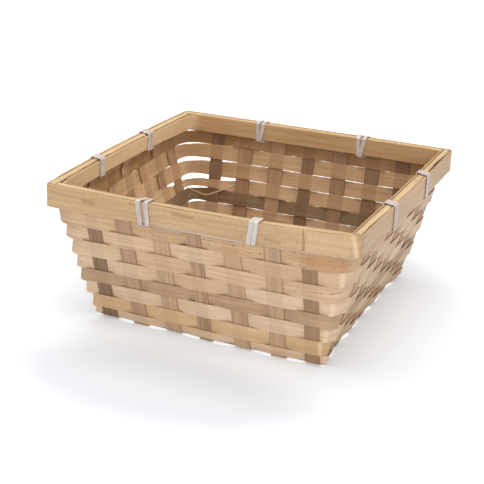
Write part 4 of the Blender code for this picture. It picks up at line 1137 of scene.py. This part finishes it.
def addBand(node, half, thickness, radii, bottom, lapPlace, lapLength, look):
    lap = np.array([(lapPlace - lapLength, -half), (lapPlace, -half)])
    outline = np.concatenate((lap, bandPlan(half, radii), lap))
    length = lengthAlong(outline)
    keep = np.concatenate(([True], np.diff(length) > 1e-9))
    place, (x, y) = evenly(length[keep], outline[keep].T, basket["step"])
    outward = outwardAlong(x, y)
    layer, step = (thickness - seat) / 2, bandShape["lapStep"]
    startThin = 1 - smooth((place - lapLength - seat) / step)
    endThin = smooth((place - (length[-1] - lapLength - seat - step)) / step)
    near = startThin * (layer + seat)
    far = thickness - endThin * (thickness - layer)
    face = np.stack((x, y, np.full_like(x, (bottom + height) / 2)), axis=1)
    onFront = smooth((-y - bandShape["frontEdge"]) / bandShape["frontFade"])
    onLeft = smooth((-x - bandShape["leftEdge"]) / bandShape["sideFade"])
    onRight = smooth((x - bandShape["rightEdge"]) / bandShape["sideFade"])
    fromStart = 1 - smooth((place - lapLength) / bandShape["paleLength"])
    strip = {
        "middle": face - outward * ((near + far) / 2)[:, None],
        "across": np.tile((0.0, 0.0, 1.0), (len(x), 1)),
        "through": outward, "thick": far - near,
        **wandering(place, (height - bottom) / 2, bandShape, look),
    }
    strip["upper"] -= bandShape["edgeWave"] + look["frontDrop"] * onFront + look["leftDrop"] * onLeft
    strip["tone"] += look["rightDeep"] * onRight - look["startPale"] * fromStart - look["leftPale"] * onLeft
    addStrip(node, strip, sectionOutline(16, 2), "rim_bamboo", look)


addBand("rim_band_outer", halfRim, bandShape["outerThickness"], bandShape["outerRadii"], bandBottom,
        bandShape["outerLapPlace"], bandShape["outerLapLength"],
        {"seed": 101, "ribs": 0.00004, "tone": 0.0, "startPale": 0.22, "frontDrop": 0.0007, "leftDrop": 0.0,
         "rightDeep": 0.45, "leftPale": 0.0})
addBand("rim_band_inner", innerBandOutside, bandShape["innerThickness"], [bandShape["innerRadius"]] * 4,
        innerBandBottom, bandShape["innerLapPlace"], bandShape["innerLapLength"],
        {"seed": 107, "ribs": 0.00004, "tone": 0.1, "startPale": 0.0, "frontDrop": 0.0009, "leftDrop": 0.0011,
         "rightDeep": 0.0, "leftPale": 0.8})
print("rim bands made: 2")


# Fillers: square sticks between the bands, each butting on the next one's side, their ends cut to
# clear the outer band's corners
def addFiller(side, look):
    start = seat - fillerInside
    ends = []
    for end, corner in ((-1, side), (1, (side + 1) % 4)):
        centre = bandInside - (bandShape["outerRadii"][corner] - bandShape["outerThickness"])
        radius = fillerOutside - centre
        last = -start if end < 0 else fillerOutside
        insideReach = centre + math.sqrt(radius ** 2 - max(fillerInside - centre, 0) ** 2)
        ends.append((end * min(last, insideReach), centre, radius, last))
    along = np.append(np.arange(ends[0][0], ends[1][0], basket["step"]), ends[1][0])
    outer = np.full_like(along, fillerOutside)
    for (reach, centre, radius, last), end in zip(ends, (-1, 1)):
        if centre < last:
            over = np.clip(end * along - centre, 0, radius)
            outer = np.minimum(outer, centre + np.sqrt(np.maximum(radius ** 2 - over ** 2, 0)))
    inner = np.full_like(along, fillerInside)
    if side == 0:
        outer = outer - fillerShape["frontInset"]
    if side == 1:
        outer = outer - np.interp(along, fillerShape["rightPlaces"], fillerShape["rightInsets"])
    if side == 3:
        inner = inner + fillerShape["leftInset"]
    outer = np.maximum(outer, inner + fillerShape["leastWidth"])
    x, y = sidePoints(side, along, (outer + inner) / 2)
    zero = np.zeros_like(along)
    outward = np.stack((*sidePoints(side, zero, zero + 1), zero), axis=1)
    topDrift = drift(along, fillerShape["topSpacing"], look["seed"])
    toneDrift = drift(along, fillerShape["toneSpacing"], look["seed"] + 7)
    half = (outer - inner) / 2 - fillerShape["sideTrim"]
    strip = {
        "middle": np.stack((x, y, np.full_like(x, (fillerTop + fillerBottom) / 2)), axis=1),
        "across": outward, "through": np.tile((0.0, 0.0, 1.0), (len(x), 1)), "place": along - along[0],
        "lower": half, "upper": half,
        "thick": fillerShape["height"] - fillerShape["topTrim"] + fillerShape["topWave"] * topDrift,
        "tone": look["tone"] + fillerShape["toneWave"] * toneDrift,
    }
    addStrip(f"rim_filler_{sideNames[side]}", strip, sectionOutline(10, 2), "filler_bamboo", look)


for side in sides:
    addFiller(side, {"seed": 121 + side, "ribs": 0.00010, "tone": 0.0})
print("fillers made: 4")


# Binding. One cane strip: stations along its route, each with place, way and the direction across it
def arcStations(centre, radius, first, last, steps, along):
    angle = np.linspace(first, last, steps + 1)
    cosine, sine, zero = np.cos(angle), np.sin(angle), np.zeros_like(angle)
    return np.stack((zero + along, centre[0] + radius * cosine, centre[1] + radius * sine,
                     zero, -sine, cosine, zero + 1, zero, zero), axis=1)


def tieStations(window, placeShare, spread, shifts, crossed):
    clearance = caneShape["clearance"]
    second, innerFirst = tiePlaces(window, placeShare)
    first = second - spread + shifts[0][0]
    angle = np.linspace(0, quarter, 5)
    zero = np.zeros_like(angle)
    rows = [np.stack((first - turnRadius * (1 - np.sin(angle)), zero + caneRunLane,
                      runArrive - turnRadius * (1 - np.cos(angle)),
                      np.cos(angle), zero, -np.sin(angle), np.sin(angle), zero, np.cos(angle)), axis=1)]

    def single(along, point, way):
        rows.append(np.array([(along, *point, 0.0, *way, 1.0, 0.0, 0.0)]))

    hook = ((caneRunLane + caneOutsideLane) / 2, hookCentre)
    rows.append(arcStations(hook, (caneOutsideLane - caneRunLane) / 2, -math.pi, 0, 4, first)[1:])
    passWay = (1 / math.hypot(1, passSlope), passSlope / math.hypot(1, passSlope))
    extra = caneShape["roundness"]
    wide = wrapRadius + extra
    for strand, inner, (_, outHigh, inHigh, inLow), isLast in (
            (second - spread, innerFirst, shifts[0], False), (second, second, shifts[1], True)):
        over = 0.0 if isLast or not crossed else caneShape["thickness"] + seat
        for centre, radius, first, last, steps, along in (
                ((halfRim - extra, height - extra), wide, 0, quarter, 4, strand + outHigh),
                ((innerBandInside + extra, height - extra), wide, quarter, math.pi, 4, strand + inHigh),
                ((innerBandInside, innerBandBottom), wrapRadius + over, math.pi, math.pi + quarter, 3,
                 inner + inLow)):
            rows.append(arcStations(centre, radius, first, last, steps, along))
        if isLast:
            break
        before = weaveIn - clearance
        single(inner + inLow * 0.5, passStart, passWay)
        single(inner, (before, passHeight(before)), passWay)
        single(second, (weaveOut, passHeight(weaveOut)), passWay)
        single(second, passEnd, (1.0, 0.0))
        rows.append(arcStations((halfRim, bandBottom), wrapRadius, -quarter, 0, 3, second + shifts[1][0]))
    single(second, passStart, (1.0, 0.0))
    single(second, (weaveIn - clearance, lastPass), (1.0, 0.0))
    rise = (caneRunLane - riseRadius, lastPass + riseRadius)
    rows.append(arcStations(rise, riseRadius, -quarter, 0, 3, second))
    angle = np.linspace(0, quarter, 5)[1:]
    zero = np.zeros_like(angle)
    rows.append(np.stack((second + turnRadius * (1 - np.cos(angle)), zero + caneRunLane,
                          rise[1] + turnRadius * np.sin(angle),
                          np.sin(angle), zero, np.cos(angle), np.cos(angle), zero, -np.sin(angle)), axis=1))
    return np.concatenate(rows)


def toWorld(side, stations):
    turned = stations.copy()
    for column in (0, 3, 6):
        x, y = sidePoints(side, stations[:, column], stations[:, column + 1])
        turned[:, column], turned[:, column + 1] = x, y
    return turned


def runStations(side, places):
    rows = np.array([(along, out, level, *way, 0.0, 0.0, 1.0) for along, out, level, way in places])
    return toWorld(side, rows)


def bindingRoute():
    route = []
    flips = []
    turned = False
    width = caneShape["width"]

    def add(rows):
        route.append(rows)
        flips.append(np.full(len(rows), -1.0 if turned else 1.0))

    straight = (1.0, 0.0, 0.0)
    lastAlong = None
    for side in sides:
        for number, window in enumerate(tieWindows(side)):
            order = side * 2 + number
            tie = tieStations(window, tiePlaceShares[order], width * tieSpreadShares[order], tieShifts[order],
                              order in crossedTies)
            if lastAlong is None:
                add(runStations(side, [(tie[0, 0] - caneShape["tail"], caneRunLane, runArrive, straight)]))
            elif side == 0:
                add(runStations(side, [(lastAlong + 2 * width, caneRunLane, runLow, straight),
                                       (tie[0, 0] - 2 * width, caneRunLane, runLow, straight)]))
            add(toWorld(side, tie))
            turned = not turned
            lastAlong = tie[-1, 0]
        if side == 3:
            add(runStations(side, [(lastAlong + caneShape["tail"], caneRunLane, runLeave, straight)]))
            break
        level = runLow + caneShape["show"] - caneShape["showRight"] if side == 0 else runLeave
        radius = bandShape["outerRadii"][side + 1] - (halfRim - caneRunLane)
        if side == 0:
            add(runStations(side, [(lastAlong + 2 * width, caneRunLane, level, straight),
                                   (caneRunLane - radius - width, caneRunLane, level, straight)]))
        add(runStations(side, [
            (caneRunLane - radius * (1 - math.sin(angle)), caneRunLane - radius * (1 - math.cos(angle)),
             level, (math.cos(angle), -math.sin(angle), 0.0)) for angle in np.linspace(0, quarter, 4)]))
    return np.concatenate(route), np.concatenate(flips)


# between stations the cane follows a Hermite curve: both ends' places and ways, scaled by the chord
def addBinding(look):
    stations, flips = bindingRoute()
    place, way, across = stations[:, :3], unit(stations[:, 3:6]), stations[:, 6:9] * flips[:, None]
    chord = np.linalg.norm(np.diff(place, axis=0), axis=1)[:, None, None]
    share = np.linspace(0, 1, caneShape["stationSteps"] + 1)[:-1, None][None]
    first, second = place[:-1, None], place[1:, None]
    wayOne, wayTwo = way[:-1, None] * chord, way[1:, None] * chord
    curve = ((2 * share ** 3 - 3 * share ** 2 + 1) * first + (share ** 3 - 2 * share ** 2 + share) * wayOne
             + (-2 * share ** 3 + 3 * share ** 2) * second + (share ** 3 - share ** 2) * wayTwo)
    sideways = across[:-1, None] + (across[1:, None] - across[:-1, None]) * smooth(share)
    curve = np.concatenate((curve.reshape(-1, 3), place[-1:]))
    sideways = np.concatenate((sideways.reshape(-1, 3), across[-1:]))
    length = lengthAlong(curve)
    keep = np.concatenate(([True], np.diff(length) > 1e-7))
    even, columns = evenly(length[keep], [*curve[keep].T, *sideways[keep].T], caneShape["step"])
    middle, across = np.stack(columns[:3], axis=1), unit(np.stack(columns[3:], axis=1))
    way = unit(np.gradient(middle, axis=0))
    through = unit(np.cross(way, across))
    across = np.cross(through, way)
    strip = {
        "middle": middle, "across": across, "through": through,
        "thick": np.full(len(even), caneShape["thickness"]),
        **wandering(even, caneShape["width"] / 2, caneShape, look),
    }
    addStrip("rim_binding", strip, sectionOutline(8, 2), "binding_cane", look)
    print(f"binding made: {even[-1]:.3f} m of cane")


addBinding({"seed": 141, "ribs": 0.00006, "tone": 0.0})

# Camera: the place that fits the photographed rim, base and rows
cameraView = {
    "azimuth": 22.243, "elevation": 21.75, "roll": 1.98,       # degrees
    "distance": 1.265582, "target": (-0.013931, -0.005678, 0.053549), "focalPixels": 1378.417,
    "framePixels": 484,
}


def addCamera(values):
    azimuth, elevation, roll = (math.radians(values[key]) for key in ("azimuth", "elevation", "roll"))
    back = Vector((math.sin(azimuth) * math.cos(elevation), -math.cos(azimuth) * math.cos(elevation),
                   math.sin(elevation)))
    right = Vector((math.cos(azimuth), math.sin(azimuth), 0.0))
    up = back.cross(right)
    turnedRight = right * math.cos(roll) + up * math.sin(roll)
    turnedUp = up * math.cos(roll) - right * math.sin(roll)
    data = bpy.data.cameras.new("camera")
    data.sensor_width = 36.0
    data.lens = data.sensor_width * values["focalPixels"] / values["framePixels"]
    data.clip_start, data.clip_end = 0.05, 50.0
    camera = bpy.data.objects.new("camera", data)
    bpy.context.scene.collection.objects.link(camera)
    turn = Matrix((turnedRight, turnedUp, back)).transposed().to_4x4()
    camera.matrix_world = Matrix.Translation(Vector(values["target"]) + back * values["distance"]) @ turn
    bpy.context.scene.camera = camera


addCamera(cameraView)

# Light and floor: a large soft key overhead on the left, a low front light and a pale even room
studio = {
    "floorSize": 6.0, "floorColour": (0.66, 0.68, 0.71),
    # glow by distance from the middle, in metres: near the basket and far from it; the lower glow near the
    # basket paints a soft shadow round it
    "glows": (0.27, 0.58), "glowPlaces": (0.200, 0.290), "glowCentre": (-0.012, -0.030, 0.0),
    # a painted shadow: a darker oval in front of the basket, by distance in lengths squeezed along x
    "shade": 0.25, "shadePlaces": (0.040, 0.095), "shadeCentre": (-0.0025, -0.210, 0.0),
    "shadeSqueeze": (0.5, 1.0, 1.0),
    "world": 0.62,
    "aim": (0.0, 0.0, 0.06),
    "keyLight": {"place": (-0.18, 0.0, 2.0), "size": 1.9, "power": 31.0},
    "frontLight": {"place": (0.60, -2.05, 0.55), "size": 1.2, "power": 17.0},
    # a narrow one from the right, over the rim and onto the left wall's inside
    "innerLight": {"place": (0.95, 0.05, 0.80), "size": 0.30, "power": 0.125, "spread": 18.0,
                   "aim": (-0.13, 0.02, 0.085)},
}


def addLight(name, values):
    data = bpy.data.lights.new(name, "AREA")
    data.shape = "SQUARE"
    data.size = values["size"]
    data.energy = values["power"]
    light = bpy.data.objects.new(name, data)
    bpy.context.scene.collection.objects.link(light)
    data.spread = math.radians(values.get("spread", 180.0))
    aim = Vector(values.get("aim", studio["aim"])) - Vector(values["place"])
    turn = aim.to_track_quat("-Z", "Y").to_matrix().to_4x4()
    light.matrix_world = Matrix.Translation(Vector(values["place"])) @ turn


def addFloor(values):
    half = values["floorSize"] / 2
    mesh = bpy.data.meshes.new("floor")
    corners = [(-half, -half, 0), (half, -half, 0), (half, half, 0), (-half, half, 0)]
    mesh.from_pydata(corners, [], [(0, 1, 2, 3)])
    floor = bpy.data.objects.new("floor", mesh)
    bpy.context.scene.collection.objects.link(floor)
    material = bpy.data.materials.new("paleFloor")
    material.use_nodes = True
    tree = material.node_tree
    shader = tree.nodes["Principled BSDF"]
    shader.inputs["Roughness"].default_value = 0.9
    shader.inputs["Specular IOR Level"].default_value = 0.1
    shader.inputs["Base Color"].default_value = (*values["floorColour"], 1.0)
    seen = addNode(tree, "ShaderNodeLightPath").outputs
    shown = maths(tree, "MAXIMUM", seen["Is Camera Ray"], seen["Is Glossy Ray"])
    shown = maths(tree, "MAXIMUM", shown, seen["Is Transmission Ray"])
    shader.inputs["Emission Color"].default_value = (1.0, 1.0, 1.0, 1.0)
    # glow = near + (far - near) * step(distance) - shade * (1 - step(distance from the shade's centre))
    position = addNode(tree, "ShaderNodeTexCoord").outputs["Object"]
    distance = vectors(tree, "DISTANCE", position, values["glowCentre"], "Value")
    squeezed = vectors(tree, "MULTIPLY", position, values["shadeSqueeze"])
    aside = vectors(tree, "DISTANCE", squeezed, values["shadeCentre"], "Value")
    near, far = values["glows"]
    glow = maths(tree, "MULTIPLY_ADD", stepBetween(tree, distance, *values["glowPlaces"]), far - near, near)
    shade = maths(tree, "MULTIPLY", fallBetween(tree, aside, *values["shadePlaces"]), values["shade"])
    glow = maths(tree, "SUBTRACT", glow, shade)
    feed(tree, shader.inputs["Emission Strength"], maths(tree, "MULTIPLY", shown, glow))
    mesh.materials.append(material)
    floor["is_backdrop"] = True


def addWorld(values):
    world = bpy.data.worlds.new("studioWorld")
    world.use_nodes = True
    tree = world.node_tree
    tree.nodes.clear()
    seen = addNode(tree, "ShaderNodeLightPath").outputs
    shown = maths(tree, "MAXIMUM", seen["Is Camera Ray"], seen["Is Transmission Ray"])
    strength = maths(tree, "ADD", values["world"], maths(tree, "MULTIPLY", shown, 1.0 - values["world"]))
    glow = addNode(tree, "ShaderNodeBackground", {"Color": (1.0, 1.0, 1.0, 1.0), "Strength": strength})
    addNode(tree, "ShaderNodeOutputWorld", {"Surface": glow.outputs[0]})
    bpy.context.scene.world = world


for name in ("keyLight", "frontLight", "innerLight"):
    addLight(name, studio[name])
addFloor(studio)
addWorld(studio)
bpy.context.scene.view_settings.view_transform = "Standard"
print("camera, light and floor made")

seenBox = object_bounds()
room = [round((seen - cad) * way * 1000, 2) for way, cadCorner, seenCorner in zip((1, -1), cadBox, seenBox)
        for cad, seen in zip(cadCorner, seenCorner)]
print("room between the visual's box and the frame's (mm):", room)
